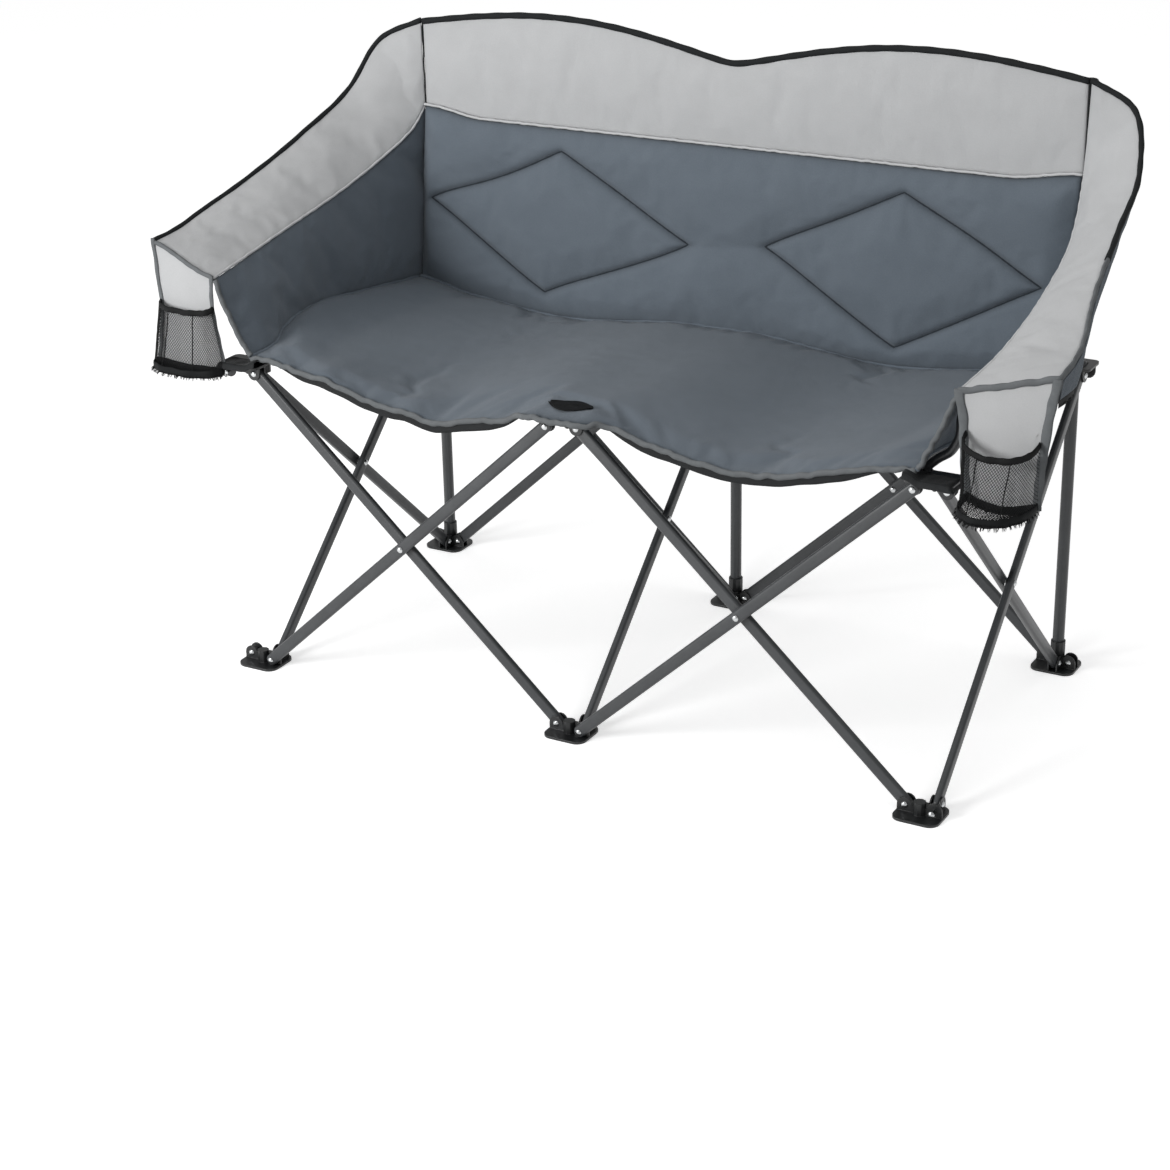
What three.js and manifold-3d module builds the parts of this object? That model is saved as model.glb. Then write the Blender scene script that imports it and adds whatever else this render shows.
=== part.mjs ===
// Folding camping loveseat: three feet and three hubs in front and behind, joined by crossed
// flat-sided tubes in each row and in each column, with three uprights behind and two arm posts.
// Millimetres. +X is to the right of someone facing the seat, +Y is to the back, +Z is up.
// The origin is on the floor under the middle of the whole seat.

import * as THREE from 'three';
import { mergeVertices } from 'three/addons/utils/BufferGeometryUtils.js';
import Module from 'manifold-3d';

const wasm = await Module();
wasm.setup();
const lerp = THREE.MathUtils.lerp;
const smooth = THREE.MathUtils.smoothstep;

// Driving dimensions of the frame
const footPitch = 580;
const frameRise = 490;
const rivetOffset = 23;
const rivetHeight = 14;
const slip = 0.3;
const overrun = 5;

// Flat-sided tubes
const tubeWide = 19;
const tubeThick = 11;
const tubeEdge = 2;
const tailReach = 24;

// Rivets
const shankRadius = 2.7;
const holeRadius = 3.4;
const headRadius = 5;
const headTopRadius = 3.2;
const headHeight = 2;
const washerRadius = 7;

// Uprights and arm posts, with heights above the top of the hubs
const uprightDiameter = 19;
const uprightWall = 1.5;
const cornerUprightRise = 434;
const middleUprightRise = 400;
const postDiameter = 13;

// Plastic feet and hubs
const lugWall = 2.4;
const flangeWide = 72;
const flangeBack = 28;
const flangeIn = 38;
const flangeThick = 4;
const flangeCorner = 16;
const footLugRadius = 12;
const hubLugRadius = 11;
const hubPlateWide = 72;
const hubPlateBack = 16;
const hubPlateIn = 38;
const hubPlateThick = 4;
const hubPlateCorner = 9;
const hubPlateGap = 0.5;
const collarRadius = 12;
const collarHeight = 44;
const collarFloor = 4;
const collarDrop = 26;
const bossRadius = 9.6;
const bossHeight = 24;
const frontSlot = 17.8;
const rearSlot = 3.8;
const postInset = 20;
const postBack = 33;
const postSocketDepth = 18;
const postSlack = 0.9;

// Fabric, with rises and drops from the top of the hubs
const clothGap = 0.3;
const seamGap = 0.4;
const edgeThick = 2.4;
const seatRearGap = 52;
const seatFrontRise = 8;
const seatRearDrop = 14;
const seatBaySag = 43;
const seatRearSag = 20;
const seatSideLift = 22;
const seatThick = 15;
const patchWide = 60;
const patchDeep = 40;
const patchThick = 1.6;
const backOverhang = 2;
const backSeamRise = 279;
const backCornerRise = 294;
const backLean = 32;
const backEdgeThick = 13;
const backThick = 30;
const stitchThick = 14;
const diamondSideMargin = 34;
const diamondMiddleMargin = 68;
const diamondCentreRise = 124;
const diamondHalfHigh = 121;
const stitchSpread = 38;
const humpRise = 462;
const dipRise = 409;
const cornerRise = 437;
const humpInset = 250;
const bandEdgeThick = 4;
const bandThick = 11;
const armInnerOverhang = 37;
const armFrontInRise = 135;
const armOuterOverhang = 177;
const armFrontOutRise = 173;
const armReach = 8;
const armThick = 7;
const hemWide = 25;
const hemThick = 2;
const sleeveWall = 1.7;
const sleeveHigh = 62;

// Cup holders
const cupPanelDrop = 6;
const cupPanelThick = 3;
const cupBindingWide = 14;
const cupBindingThick = 5;
const pocketReach = 112;
const pocketWall = 2;
const pocketDrop = 8;
const pocketHigh = 86;
const pocketDroop = 14;

// Places worked out from the sizes above
const span = footPitch - 2 * rivetOffset;
const tubeLength = Math.hypot(span, frameRise);
const hubHeight = rivetHeight + frameRise;
const crossHeight = rivetHeight + frameRise / 2;
const tubeEnd = tubeWide / 2;
const layerOffset = lugWall / 2 + slip + tubeThick / 2;
const layerFace = layerOffset + tubeThick / 2 + slip;
const slotHalf = tubeThick / 2 + slip;
const rowFront = (pocketReach - flangeBack - footPitch) / 2;
const rowRear = rowFront + footPitch;
const columns = [-footPitch, 0, footPitch];
const columnNames = ['left', 'center', 'right'];
const plateFoot = hubHeight + tubeEnd + hubPlateGap;
const plateTop = plateFoot + hubPlateThick;
const uprightRadius = uprightDiameter / 2;
const postRadius = postDiameter / 2;
const boreRadius = uprightRadius + slip;
const socketX = footPitch - postInset;
const socketFloor = plateTop - postSocketDepth;
const seatReach = footPitch - seatRearGap;
const backHalfWidth = footPitch + backOverhang;
const diamondHalfWide = (backHalfWidth - diamondSideMargin - diamondMiddleMargin) / 2;
const diamondCentreX = diamondMiddleMargin + diamondHalfWide;
const humpX = footPitch - humpInset;
const armFrontIn = footPitch + armInnerOverhang;
const armFrontOut = footPitch + armOuterOverhang;
const cornerUprightTop = plateTop + cornerUprightRise;
const middleUprightTop = plateTop + middleUprightRise;
const seatFrontHeight = plateTop + seatFrontRise;
const seatRearHeight = plateTop - seatRearDrop;
const backTopSeam = plateTop + backSeamRise;
const backCornerSeam = plateTop + backCornerRise;
const diamondCentreZ = plateTop + diamondCentreRise;
const humpTop = plateTop + humpRise;
const dipTop = plateTop + dipRise;
const cornerTop = plateTop + cornerRise;
const armFrontInHeight = plateTop + armFrontInRise;
const armFrontOutHeight = plateTop + armFrontOutRise;
const cupPanelFoot = plateTop - cupPanelDrop;
const pocketFoot = plateTop - pocketDrop;
const pocketTop = pocketFoot + pocketHigh;

// Materials, one for each piece
const finishes = {
  steel: { color: 0x43464a, roughness: 0.42, metalness: 0.6 },
  rivet: { color: 0xc4c6c8, roughness: 0.3, metalness: 0.9 },
  plastic: { color: 0x17191a, roughness: 0.55, metalness: 0 },
  slate: { color: 0x596169, roughness: 0.85, metalness: 0 },
  silver: { color: 0xb4b6b7, roughness: 0.85, metalness: 0 },
  webbing: { color: 0x26292a, roughness: 0.8, metalness: 0 },
  net: { color: 0x1c1f20, roughness: 0.85, metalness: 0 },
};

const loveseat = new THREE.Group();

function addPiece(name, geometry, finish) {
  geometry.computeVertexNormals();
  const mesh = new THREE.Mesh(geometry, new THREE.MeshStandardMaterial(finishes[finish]));
  mesh.name = name;
  loveseat.add(mesh);
  return mesh;
}

// Booleans

function toSolid(geometry) {
  const bare = geometry.clone();
  bare.deleteAttribute('normal');
  bare.deleteAttribute('uv');
  const merged = facingOut(mergeVertices(bare));
  return new wasm.Manifold(new wasm.Mesh({
    numProp: 3,
    vertProperties: new Float32Array(merged.attributes.position.array),
    triVerts: new Uint32Array(merged.index.array),
  }));
}

function toGeometry(solid) {
  const mesh = solid.getMesh();
  const geometry = new THREE.BufferGeometry();
  geometry.setAttribute('position', new THREE.BufferAttribute(mesh.vertProperties, 3));
  geometry.setIndex(new THREE.BufferAttribute(mesh.triVerts, 1));
  return geometry;
}

function combine(added, removed = []) {
  let solid = toSolid(added[0]);
  for (const geometry of added.slice(1)) {
    solid = solid.add(toSolid(geometry));
  }
  for (const geometry of removed) {
    solid = solid.subtract(toSolid(geometry));
  }
  return toGeometry(solid);
}

// Basic forms

function block(x, y, z) {
  const geometry = new THREE.BoxGeometry(x[1] - x[0], y[1] - y[0], z[1] - z[0]);
  return geometry.translate((x[0] + x[1]) / 2, (y[0] + y[1]) / 2, (z[0] + z[1]) / 2);
}

function circleShape(radius, sides) {
  const shape = new THREE.Shape();
  for (let i = 0; i < sides; i += 1) {
    const angle = (2 * Math.PI * (i + 0.5)) / sides;
    const x = radius * Math.cos(angle);
    const y = radius * Math.sin(angle);
    if (i === 0) {
      shape.moveTo(x, y);
    } else {
      shape.lineTo(x, y);
    }
  }
  return shape;
}

// A round bar or cone along one axis, at the other two coordinates in x, y, z order
function bar(axis, from, to, across, radius, sides, endRadius = radius) {
  const up = to > from;
  const geometry = new THREE.CylinderGeometry(
    up ? endRadius : radius, up ? radius : endRadius, Math.abs(to - from), sides);
  const middle = (from + to) / 2;
  if (axis === 'x') {
    return geometry.rotateZ(-Math.PI / 2).translate(middle, across[0], across[1]);
  }
  if (axis === 'y') {
    return geometry.translate(across[0], middle, across[1]);
  }
  return geometry.rotateX(Math.PI / 2).translate(across[0], across[1], middle);
}

function rivetHead(axis, base, outward, across) {
  return bar(axis, base, base + outward * headHeight, across, headRadius, 8, headTopRadius);
}

function shank(axis, from, to, across) {
  return bar(axis, from, to, across, shankRadius, 6);
}

function extrudeUp(shape, from, to, segments) {
  const options = { depth: to - from, bevelEnabled: false, curveSegments: segments };
  return new THREE.ExtrudeGeometry(shape, options).translate(0, 0, from);
}

// A wall across Y, drawn in x and z
function extrudeAcross(shape, from, to, segments) {
  const options = { depth: to - from, bevelEnabled: false, curveSegments: segments };
  return new THREE.ExtrudeGeometry(shape, options).rotateX(Math.PI / 2).translate(0, to, 0);
}

// A wall across X, drawn in y and z
function extrudeSideways(shape, from, to, segments) {
  const options = { depth: to - from, bevelEnabled: false, curveSegments: segments };
  const turn = new THREE.Matrix4().makeBasis(
    new THREE.Vector3(0, 1, 0), new THREE.Vector3(0, 0, 1), new THREE.Vector3(1, 0, 0));
  return new THREE.ExtrudeGeometry(shape, options).applyMatrix4(turn).translate(from, 0, 0);
}

function roundedRectangle(x, y, corner) {
  const shape = new THREE.Shape();
  shape.moveTo(x[0] + corner, y[0]);
  shape.lineTo(x[1] - corner, y[0]);
  shape.absarc(x[1] - corner, y[0] + corner, corner, -Math.PI / 2, 0, false);
  shape.lineTo(x[1], y[1] - corner);
  shape.absarc(x[1] - corner, y[1] - corner, corner, 0, Math.PI / 2, false);
  shape.lineTo(x[0] + corner, y[1]);
  shape.absarc(x[0] + corner, y[1] - corner, corner, Math.PI / 2, Math.PI, false);
  shape.lineTo(x[0], y[0] + corner);
  shape.absarc(x[0] + corner, y[0] + corner, corner, Math.PI, Math.PI * 1.5, false);
  return shape;
}

// A wall's outline: from its base to the height of its rivets, and round past each rivet
function wallShape(start, centres, radius, base, pivot) {
  const above = pivot > base;
  const shape = new THREE.Shape();
  shape.moveTo(start, base);
  shape.lineTo(start, pivot);
  for (const centre of centres) {
    shape.absarc(centre, pivot, radius, Math.PI, above ? 0 : 2 * Math.PI, above);
  }
  shape.lineTo(centres[centres.length - 1] + radius, base);
  return shape;
}

// Flat-sided tube from its lower rivet at the origin, along X, with its ends plugged and rounded

function makeTube(endReach) {
  const outline = new THREE.Shape();
  const inset = tubeEdge;
  const last = tubeLength + endReach - tubeEnd;
  outline.absarc(0, 0, tubeEnd - inset, Math.PI / 2, Math.PI * 1.5, false);
  outline.absarc(last, 0, tubeEnd - inset, -Math.PI / 2, Math.PI / 2, false);
  const body = new THREE.ExtrudeGeometry(outline, {
    depth: tubeThick - 2 * tubeEdge,
    bevelThickness: tubeEdge,
    bevelSize: tubeEdge,
    bevelSegments: 1,
    curveSegments: 5,
  }).translate(0, 0, tubeEdge - tubeThick / 2);
  const holes = [0, tubeLength / 2, tubeLength].map(
    (x) => bar('z', -tubeThick / 2 - overrun, tubeThick / 2 + overrun, [x, 0], holeRadius, 6));
  return combine([body], holes);
}

function placeTube(name, start, end, flat, endReach = tubeEnd) {
  const mesh = addPiece(name, makeTube(endReach), 'steel');
  const along = new THREE.Vector3(...end).sub(new THREE.Vector3(...start)).normalize();
  const across = new THREE.Vector3().crossVectors(flat, along);
  mesh.quaternion.setFromRotationMatrix(new THREE.Matrix4().makeBasis(along, across, flat));
  mesh.position.set(...start);
}

const backward = new THREE.Vector3(0, 1, 0);
const sideways = new THREE.Vector3(1, 0, 0);

// Each row has two bays, and each bay a rising and a falling tube. The rear row is the front
// row turned half round, so its outer layer lies behind it.
function placeRow(row, y, rising, falling) {
  const bays = [['left', columns[0]], ['right', columns[1]]];
  for (const [bay, x] of bays) {
    const near = x + rivetOffset;
    const far = x + footPitch - rivetOffset;
    placeTube(`tube_${row}_${bay}_rising`,
      [near, y + rising, rivetHeight], [far, y + rising, hubHeight], backward);
    placeTube(`tube_${row}_${bay}_falling`,
      [far, y + falling, rivetHeight], [near, y + falling, hubHeight], backward);
  }
}

placeRow('front', rowFront, -layerOffset, layerOffset);
placeRow('rear', rowRear, -layerOffset, layerOffset);

// From front to rear, each column has a tube up to the rear hub and one up to the front hub.
const nearRivet = rowFront + rivetOffset;
const farRivet = rowRear - rivetOffset;
columns.forEach((x, i) => {
  placeTube(`tube_side_${columnNames[i]}_rising`,
    [x + frontSlot, nearRivet, rivetHeight], [x + frontSlot, farRivet, hubHeight],
    sideways, tailReach);
  placeTube(`tube_side_${columnNames[i]}_falling`,
    [x + rearSlot, farRivet, rivetHeight], [x + rearSlot, nearRivet, hubHeight], sideways);
});

// Crossing rivets: a head on each side and a spacer between the two tubes

function makeCrossRivet(spacerHalf) {
  const face = spacerHalf + slip + tubeThick + slip;
  const radii = [0, headTopRadius, headRadius, shankRadius, shankRadius, washerRadius];
  const heights = [face + headHeight, face + headHeight, face, face, spacerHalf, spacerHalf];
  const half = radii.map((radius, i) => new THREE.Vector2(radius, heights[i]));
  const other = half.map((point) => new THREE.Vector2(point.x, -point.y));
  return combine([new THREE.LatheGeometry([...other, ...half.reverse()], 8)]);
}

const columnGap = frontSlot - rearSlot;
const rowSpacer = lugWall / 2;
const columnSpacer = columnGap / 2 - tubeThick / 2 - slip;
for (const [row, y] of [['front', rowFront], ['rear', rowRear]]) {
  for (const [bay, x] of [['left', columns[0]], ['right', columns[1]]]) {
    const rivet = addPiece(`rivet_${row}_${bay}`, makeCrossRivet(rowSpacer), 'rivet');
    rivet.position.set(x + footPitch / 2, y, crossHeight);
  }
}
columns.forEach((x, i) => {
  const geometry = makeCrossRivet(columnSpacer).rotateZ(-Math.PI / 2);
  const rivet = addPiece(`rivet_side_${columnNames[i]}`, geometry, 'rivet');
  rivet.position.set(x + (frontSlot + rearSlot) / 2, (nearRivet + farRivet) / 2, crossHeight);
});

// Lugs and rivets shared by feet and hubs. Locally X is to the right and Y is inward.
// outerX is the rivet of the tube outside the wall, innerX that of the tube behind it.
function lugWork(outerX, innerX, slotX, radius, base, pivot) {
  const wall = [-lugWall / 2, lugWall / 2];
  const both = [-rivetOffset, rivetOffset];
  const frontWall = wallShape(-rivetOffset - radius, both, radius, base, pivot);
  const secondWall = wallShape(innerX - radius, [innerX], radius, base, pivot);
  const sideWall = wallShape(0, [rivetOffset], radius, base, pivot);
  const solids = [
    extrudeAcross(frontWall, wall[0], wall[1], 4),
    extrudeAcross(secondWall, layerFace, layerFace + lugWall, 4),
    shank('y', 0, -layerFace - headHeight / 2, [outerX, pivot]),
    rivetHead('y', -layerFace, -1, [outerX, pivot]),
    shank('y', 0, layerFace + lugWall, [innerX, pivot]),
    rivetHead('y', wall[0], -1, [innerX, pivot]),
    rivetHead('y', layerFace + lugWall, 1, [innerX, pivot]),
  ];
  for (const side of [-1, 1]) {
    const face = slotX + side * slotHalf;
    const back = face + side * lugWall;
    solids.push(extrudeSideways(sideWall, Math.min(face, back), Math.max(face, back), 4));
    solids.push(rivetHead('x', back, side, [rivetOffset, pivot]));
  }
  const reach = slotHalf + lugWall;
  solids.push(shank('x', slotX - reach, slotX + reach, [rivetOffset, pivot]));
  return solids;
}

// Feet

function makeFoot(slotX, hasUpright) {
  const half = flangeWide / 2;
  const flange = roundedRectangle([-half, half], [-flangeBack, flangeIn], flangeCorner);
  const solids = [
    extrudeUp(flange, 0, flangeThick, 3),
    ...lugWork(rivetOffset, -rivetOffset, slotX, footLugRadius, flangeThick / 2, rivetHeight),
  ];
  if (!hasUpright) {
    solids.push(bar('z', flangeThick / 2, bossHeight, [0, 0], bossRadius, 10));
    return combine(solids);
  }
  const floor = flangeThick + collarFloor;
  solids.push(bar('z', flangeThick / 2, collarHeight, [0, 0], collarRadius, 12));
  const bore = bar('z', floor, collarHeight + overrun, [0, 0], boreRadius, 12);
  return combine(solids, [bore]);
}

// Hubs. A rear hub slides on its upright, and its plate is open over the tube's tail.

function makeHub(slotX, socketSide, slides) {
  const half = hubPlateWide / 2;
  const outline = roundedRectangle([-half, half], [-hubPlateBack, hubPlateIn], hubPlateCorner);
  const solids = [
    extrudeUp(outline, plateFoot, plateTop, 2),
    ...lugWork(-rivetOffset, rivetOffset, slotX, hubLugRadius,
      plateFoot + hubPlateThick / 2, hubHeight),
  ];
  const cuts = [];
  if (socketSide !== 0) {
    const at = [socketSide * postInset, postBack];
    solids.push(bar('z', socketFloor - lugWall, plateTop, at, bossRadius, 12));
    cuts.push(bar('z', socketFloor, plateTop + overrun, at, postRadius + postSlack, 12));
  }
  if (slides) {
    const foot = plateTop - collarDrop;
    solids.push(bar('z', foot, plateTop, [0, 0], collarRadius, 12));
    cuts.push(bar('z', foot - overrun, plateTop + overrun, [0, 0], boreRadius, 12));
    const notch = [slotX - slotHalf, slotX + slotHalf];
    cuts.push(block(notch, [lugWall, hubPlateIn + overrun], [hubHeight + tubeEnd, plateTop + overrun]));
  }
  return combine(solids, cuts);
}

columns.forEach((x, i) => {
  const name = columnNames[i];
  const footFront = addPiece(`foot_front_${name}`, makeFoot(frontSlot, false), 'plastic');
  footFront.position.set(x, rowFront, 0);
  const footRear = addPiece(`foot_rear_${name}`, makeFoot(-rearSlot, true), 'plastic');
  footRear.position.set(x, rowRear, 0);
  footRear.rotation.z = Math.PI;
  const hubFront = addPiece(`hub_front_${name}`, makeHub(rearSlot, -Math.sign(x), false), 'plastic');
  hubFront.position.set(x, rowFront, 0);
  const hubRear = addPiece(`hub_rear_${name}`, makeHub(-frontSlot, 0, true), 'plastic');
  hubRear.position.set(x, rowRear, 0);
  hubRear.rotation.z = Math.PI;
});

// Uprights, open round tubes standing in the rear feet

const uprightFoot = flangeThick + collarFloor + slip;
columns.forEach((x, i) => {
  const top = i === 1 ? middleUprightTop : cornerUprightTop;
  const outer = bar('z', uprightFoot, top, [0, 0], uprightRadius, 12);
  const bore = bar('z', uprightFoot - overrun, top + overrun, [0, 0], uprightRadius - uprightWall, 12);
  const upright = addPiece(`upright_${columnNames[i]}`, combine([outer], [bore]), 'steel');
  upright.position.set(x, rowRear, 0);
});

// The line of the arm top: it slopes up outward from the inner seam to the outer edge.
const armSlope = (armFrontOutHeight - armFrontInHeight) / (armFrontOut - armFrontIn);

// Arm posts: up from the hub's socket, bent out over the arm's front and under its top. The bend
// has shares of the way outward, of the way back from the front and of the rise, and the top
// has shares of the way to its end and of the way back.
const postBendShares = [[0.26, 1, 0.14], [0.6, 1, 0.25], [0.8, 1, 0.43], [0.86, 0.9, 0.66]];
const postTopShares = [[0.3, 0.3], [0.65, 0.1]];

function makePost() {
  const drop = edgeThick + clothGap + postRadius * Math.hypot(1, armSlope);
  const topHeight = (x) => armFrontInHeight + armSlope * (x - armFrontIn) - drop;
  const turnX = armFrontIn + postDiameter;
  const endX = armFrontOut - postRadius;
  const lean = armFrontIn - socketX;
  const rise = armFrontInHeight - plateTop;
  const path = new THREE.CatmullRomCurve3([
    new THREE.Vector3(socketX, postBack, socketFloor + 2 * slip),
    new THREE.Vector3(socketX, postBack, plateTop - postRadius),
    new THREE.Vector3(socketX, postBack, plateTop + postRadius / 2),
    ...postBendShares.map(([out, back, up]) => new THREE.Vector3(
      socketX + lean * out, postBack * back, plateTop + rise * up)),
    new THREE.Vector3(turnX, postBack / 2, topHeight(turnX) - postRadius / 2),
    ...postTopShares.map(([out, back]) => new THREE.Vector3(
      lerp(turnX, endX, out), postBack * back, topHeight(lerp(turnX, endX, out)))),
    new THREE.Vector3(endX, 0, topHeight(endX)),
  ]);
  const options = { extrudePath: path, steps: 22 };
  return combine([new THREE.ExtrudeGeometry(circleShape(postRadius, 8), options)]);
}

// Padded sheets: an upper and a lower grid joined round the rim. Each cell is split along the
// diagonal that lies nearer the true surface. A flat lower face is a fan from its middle.
function paddedSheet(us, vs, upper, lower, lowerIsFlat = false) {
  const positions = [];
  const index = [];
  const wide = us.length;
  const put = (point) => {
    positions.push(point.x, point.y, point.z);
    return positions.length / 3 - 1;
  };
  const grid = (side) => vs.map((v) => us.map((u) => put(side(u, v))));
  const at = (i) => new THREE.Vector3(positions[3 * i], positions[3 * i + 1], positions[3 * i + 2]);
  const miss = (a, b, centre) => at(a).add(at(b)).multiplyScalar(0.5).distanceTo(centre);
  const fill = (side, cells, flip) => {
    const triangle = (a, b, c) => index.push(...(flip ? [a, c, b] : [a, b, c]));
    for (let j = 0; j < vs.length - 1; j += 1) {
      for (let i = 0; i < wide - 1; i += 1) {
        const [a, b, c, d] = [cells[j][i], cells[j][i + 1], cells[j + 1][i + 1], cells[j + 1][i]];
        const centre = side((us[i] + us[i + 1]) / 2, (vs[j] + vs[j + 1]) / 2);
        if (miss(a, c, centre) <= miss(b, d, centre)) {
          triangle(a, b, c);
          triangle(a, c, d);
        } else {
          triangle(a, b, d);
          triangle(b, c, d);
        }
      }
    }
  };
  const rim = [];
  us.forEach((u, i) => rim.push([0, i]));
  vs.slice(1).forEach((v, j) => rim.push([j + 1, wide - 1]));
  us.slice(1).forEach((u, i) => rim.push([vs.length - 1, wide - 2 - i]));
  vs.slice(2).forEach((v, j) => rim.push([vs.length - 2 - j, 0]));
  const top = grid(upper);
  fill(upper, top, false);
  const topRim = rim.map(([j, i]) => top[j][i]);
  let lowRim;
  if (lowerIsFlat) {
    lowRim = rim.map(([j, i]) => put(lower(us[i], vs[j])));
    const middle = put(lower((us[0] + us[wide - 1]) / 2, (vs[0] + vs[vs.length - 1]) / 2));
    lowRim.forEach((a, k) => index.push(middle, lowRim[(k + 1) % rim.length], a));
  } else {
    const low = grid(lower);
    fill(lower, low, true);
    lowRim = rim.map(([j, i]) => low[j][i]);
  }
  rim.forEach((place, k) => {
    const next = (k + 1) % rim.length;
    index.push(topRim[k], lowRim[k], lowRim[next]);
    index.push(topRim[k], lowRim[next], topRim[next]);
  });
  const geometry = new THREE.BufferGeometry();
  geometry.setAttribute('position', new THREE.Float32BufferAttribute(positions, 3));
  geometry.setIndex(index);
  return facingOut(geometry);
}

// Turns a closed mesh so that its faces point out
function facingOut(geometry) {
  const p = geometry.attributes.position;
  const index = geometry.index;
  const corner = (i) => new THREE.Vector3().fromBufferAttribute(p, index.getX(i));
  let volume = 0;
  for (let i = 0; i < index.count; i += 3) {
    volume += corner(i).dot(corner(i + 1).cross(corner(i + 2)));
  }
  if (volume < 0) {
    for (let i = 0; i < index.count; i += 3) {
      const kept = index.getX(i + 1);
      index.setX(i + 1, index.getX(i + 2));
      index.setX(i + 2, kept);
    }
  }
  return geometry;
}

const evenShares = (count) => Array.from({ length: count + 1 }, (unused, i) => i / count);

// A smooth curve through points, read at a share of one coordinate
function curveThrough(points) {
  const spline = new THREE.CatmullRomCurve3(points.map((point) => new THREE.Vector3(...point)));
  return (share) => spline.getPoint(THREE.MathUtils.clamp(share, 0, 1));
}

// The crown of a padded piece: full in the middle and drawn in at the seams
const crown = (u, v) => Math.sqrt(Math.sin(Math.PI * u) * Math.sin(Math.PI * v));

// Seams of the right arm, from the front (share 0) to the rear corner (share 1), written from
// the sizes of the arm, the seat and the back. The left arm mirrors them.
const armDepth = footPitch - uprightRadius;
const armRise = cornerTop - armFrontOutHeight;
const cornerX = backHalfWidth + edgeThick / 2 + clothGap;
const cornerDepth = armDepth - armThick;

// Side of the seat: shares of the post's inset outward, of the arm's depth and of the lift
const seatEdgeShares = [[-1.9, 0, 0], [-1.2, 0.1, 0.4], [0, 0.2, 0.8], [1, 0.4, 1], [0.8, 0.65, 0.4]];
const seatEdge = curveThrough([
  ...seatEdgeShares.map(([out, back, up]) => [
    footPitch + postInset * out, armDepth * back, seatFrontHeight + seatSideLift * up]),
  [cornerX + edgeThick, seatReach, plateTop + edgeThick],
  [cornerX, cornerDepth, plateTop + edgeThick],
]);

// Seam of the arm top with the inner panel: shares of the way in to the corner, of the arm's
// depth and of its rise
const innerSeamShares = [
  [-0.2, 0.19, 0.05], [-0.2, 0.36, 0.11], [0, 0.58, 0.2], [0.3, 0.78, 0.32], [0.8, 0.93, 0.47],
];
const innerSeam = curveThrough([
  [armFrontIn, -armReach, armFrontInHeight],
  ...innerSeamShares.map(([along, back, up]) => [
    lerp(armFrontIn, cornerX, along), armDepth * back, armFrontInHeight + armRise * up]),
  [cornerX, cornerDepth, backCornerSeam],
]);

// Outer edge of the arm top: shares of the way in to the upright, of the depth and of the rise
const outerEdgeShares = [
  [0.04, 0.18, 0.04], [0.2, 0.42, 0.18], [0.3, 0.66, 0.36], [0.42, 0.86, 0.55], [0.6, 0.95, 0.75],
];
const outerEdge = curveThrough([
  [armFrontOut, -armReach, armFrontOutHeight],
  ...outerEdgeShares.map(([along, back, up]) => [
    lerp(armFrontOut, footPitch, along), armDepth * back, armFrontOutHeight + armRise * up]),
  [cornerX + armThick, armDepth, cornerTop],
]);

// Foot of the outer panel: shares of the way in to the upright, of the depth and of the drop
const hemShares = [[0.04, 0.015, 0.22], [0.3, 0.35, 0.45], [0.6, 0.68, 0.74], [0.8, 1, 0.955]];
const hemLine = curveThrough(hemShares.map(([along, back, down]) => [
  lerp(armFrontOut, footPitch, along), armDepth * back,
  lerp(armFrontOutHeight, plateTop, down)]));

// The outer panel is sewn on just outside the edge of the arm top.
function outerSkin(share) {
  const step = 0.01;
  const along = outerEdge(share + step).sub(outerEdge(share - step));
  const out = new THREE.Vector3(along.y, -along.x, 0).normalize();
  return outerEdge(share).addScaledVector(out, edgeThick + clothGap);
}

// A sheet between two seams, even on the inside and crowned on the side that faces the hint
function armSheet(lowSeam, highSeam, hint, thick, lowGap, highGap) {
  const edge = edgeThick / 2;
  const step = 0.01;
  const place = (u, v) => {
    const low = lowSeam(u);
    const high = highSeam(u);
    const length = low.distanceTo(high);
    return low.lerp(high, lerp(lowGap / length, 1 - highGap / length, v));
  };
  const normal = (u, v) => {
    const across = place(Math.min(u + step, 1), v).sub(place(Math.max(u - step, 0), v));
    const up = place(u, Math.min(v + step, 1)).sub(place(u, Math.max(v - step, 0)));
    const facing = across.cross(up).normalize();
    return facing.dot(hint) < 0 ? facing.negate() : facing;
  };
  const upper = (u, v) => place(u, v).addScaledVector(
    normal(u, v), edge + (thick - edgeThick) * crown(u, v));
  const lower = (u, v) => place(u, v).addScaledVector(normal(u, v), -edge);
  return paddedSheet(evenShares(12), evenShares(4), upper, lower);
}

function mirrorX(geometry) {
  return facingOut(geometry.clone().scale(-1, 1, 1));
}

function addPair(name, geometry, finish) {
  geometry.translate(0, rowFront, 0);
  addPiece(`${name}_right`, geometry, finish);
  addPiece(`${name}_left`, mirrorX(geometry), finish);
}

addPair('arm_post', makePost(), 'steel');
addPair('arm_inner', armSheet(seatEdge, innerSeam, new THREE.Vector3(-1, 0, 0), armThick,
  seamGap * 2, edgeThick), 'slate');
addPair('arm_band', armSheet(innerSeam, outerEdge, new THREE.Vector3(-1, 0, 1), armThick,
  seamGap, edgeThick), 'silver');
addPair('arm_outer', armSheet(hemLine, outerSkin, new THREE.Vector3(1, 0, 0), armThick / 2,
  hemWide + seamGap, edgeThick * 1.5), 'slate');

function makeHem() {
  const out = new THREE.Vector3(hemThick / 2, 0, 0);
  const at = (u, v) => hemLine(u).add(new THREE.Vector3(0, 0, v * hemWide));
  const upper = (u, v) => at(u, v).add(out);
  const lower = (u, v) => at(u, v).sub(out);
  return paddedSheet(evenShares(12), [0, 1], upper, lower);
}
addPair('arm_hem', makeHem(), 'webbing');

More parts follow.
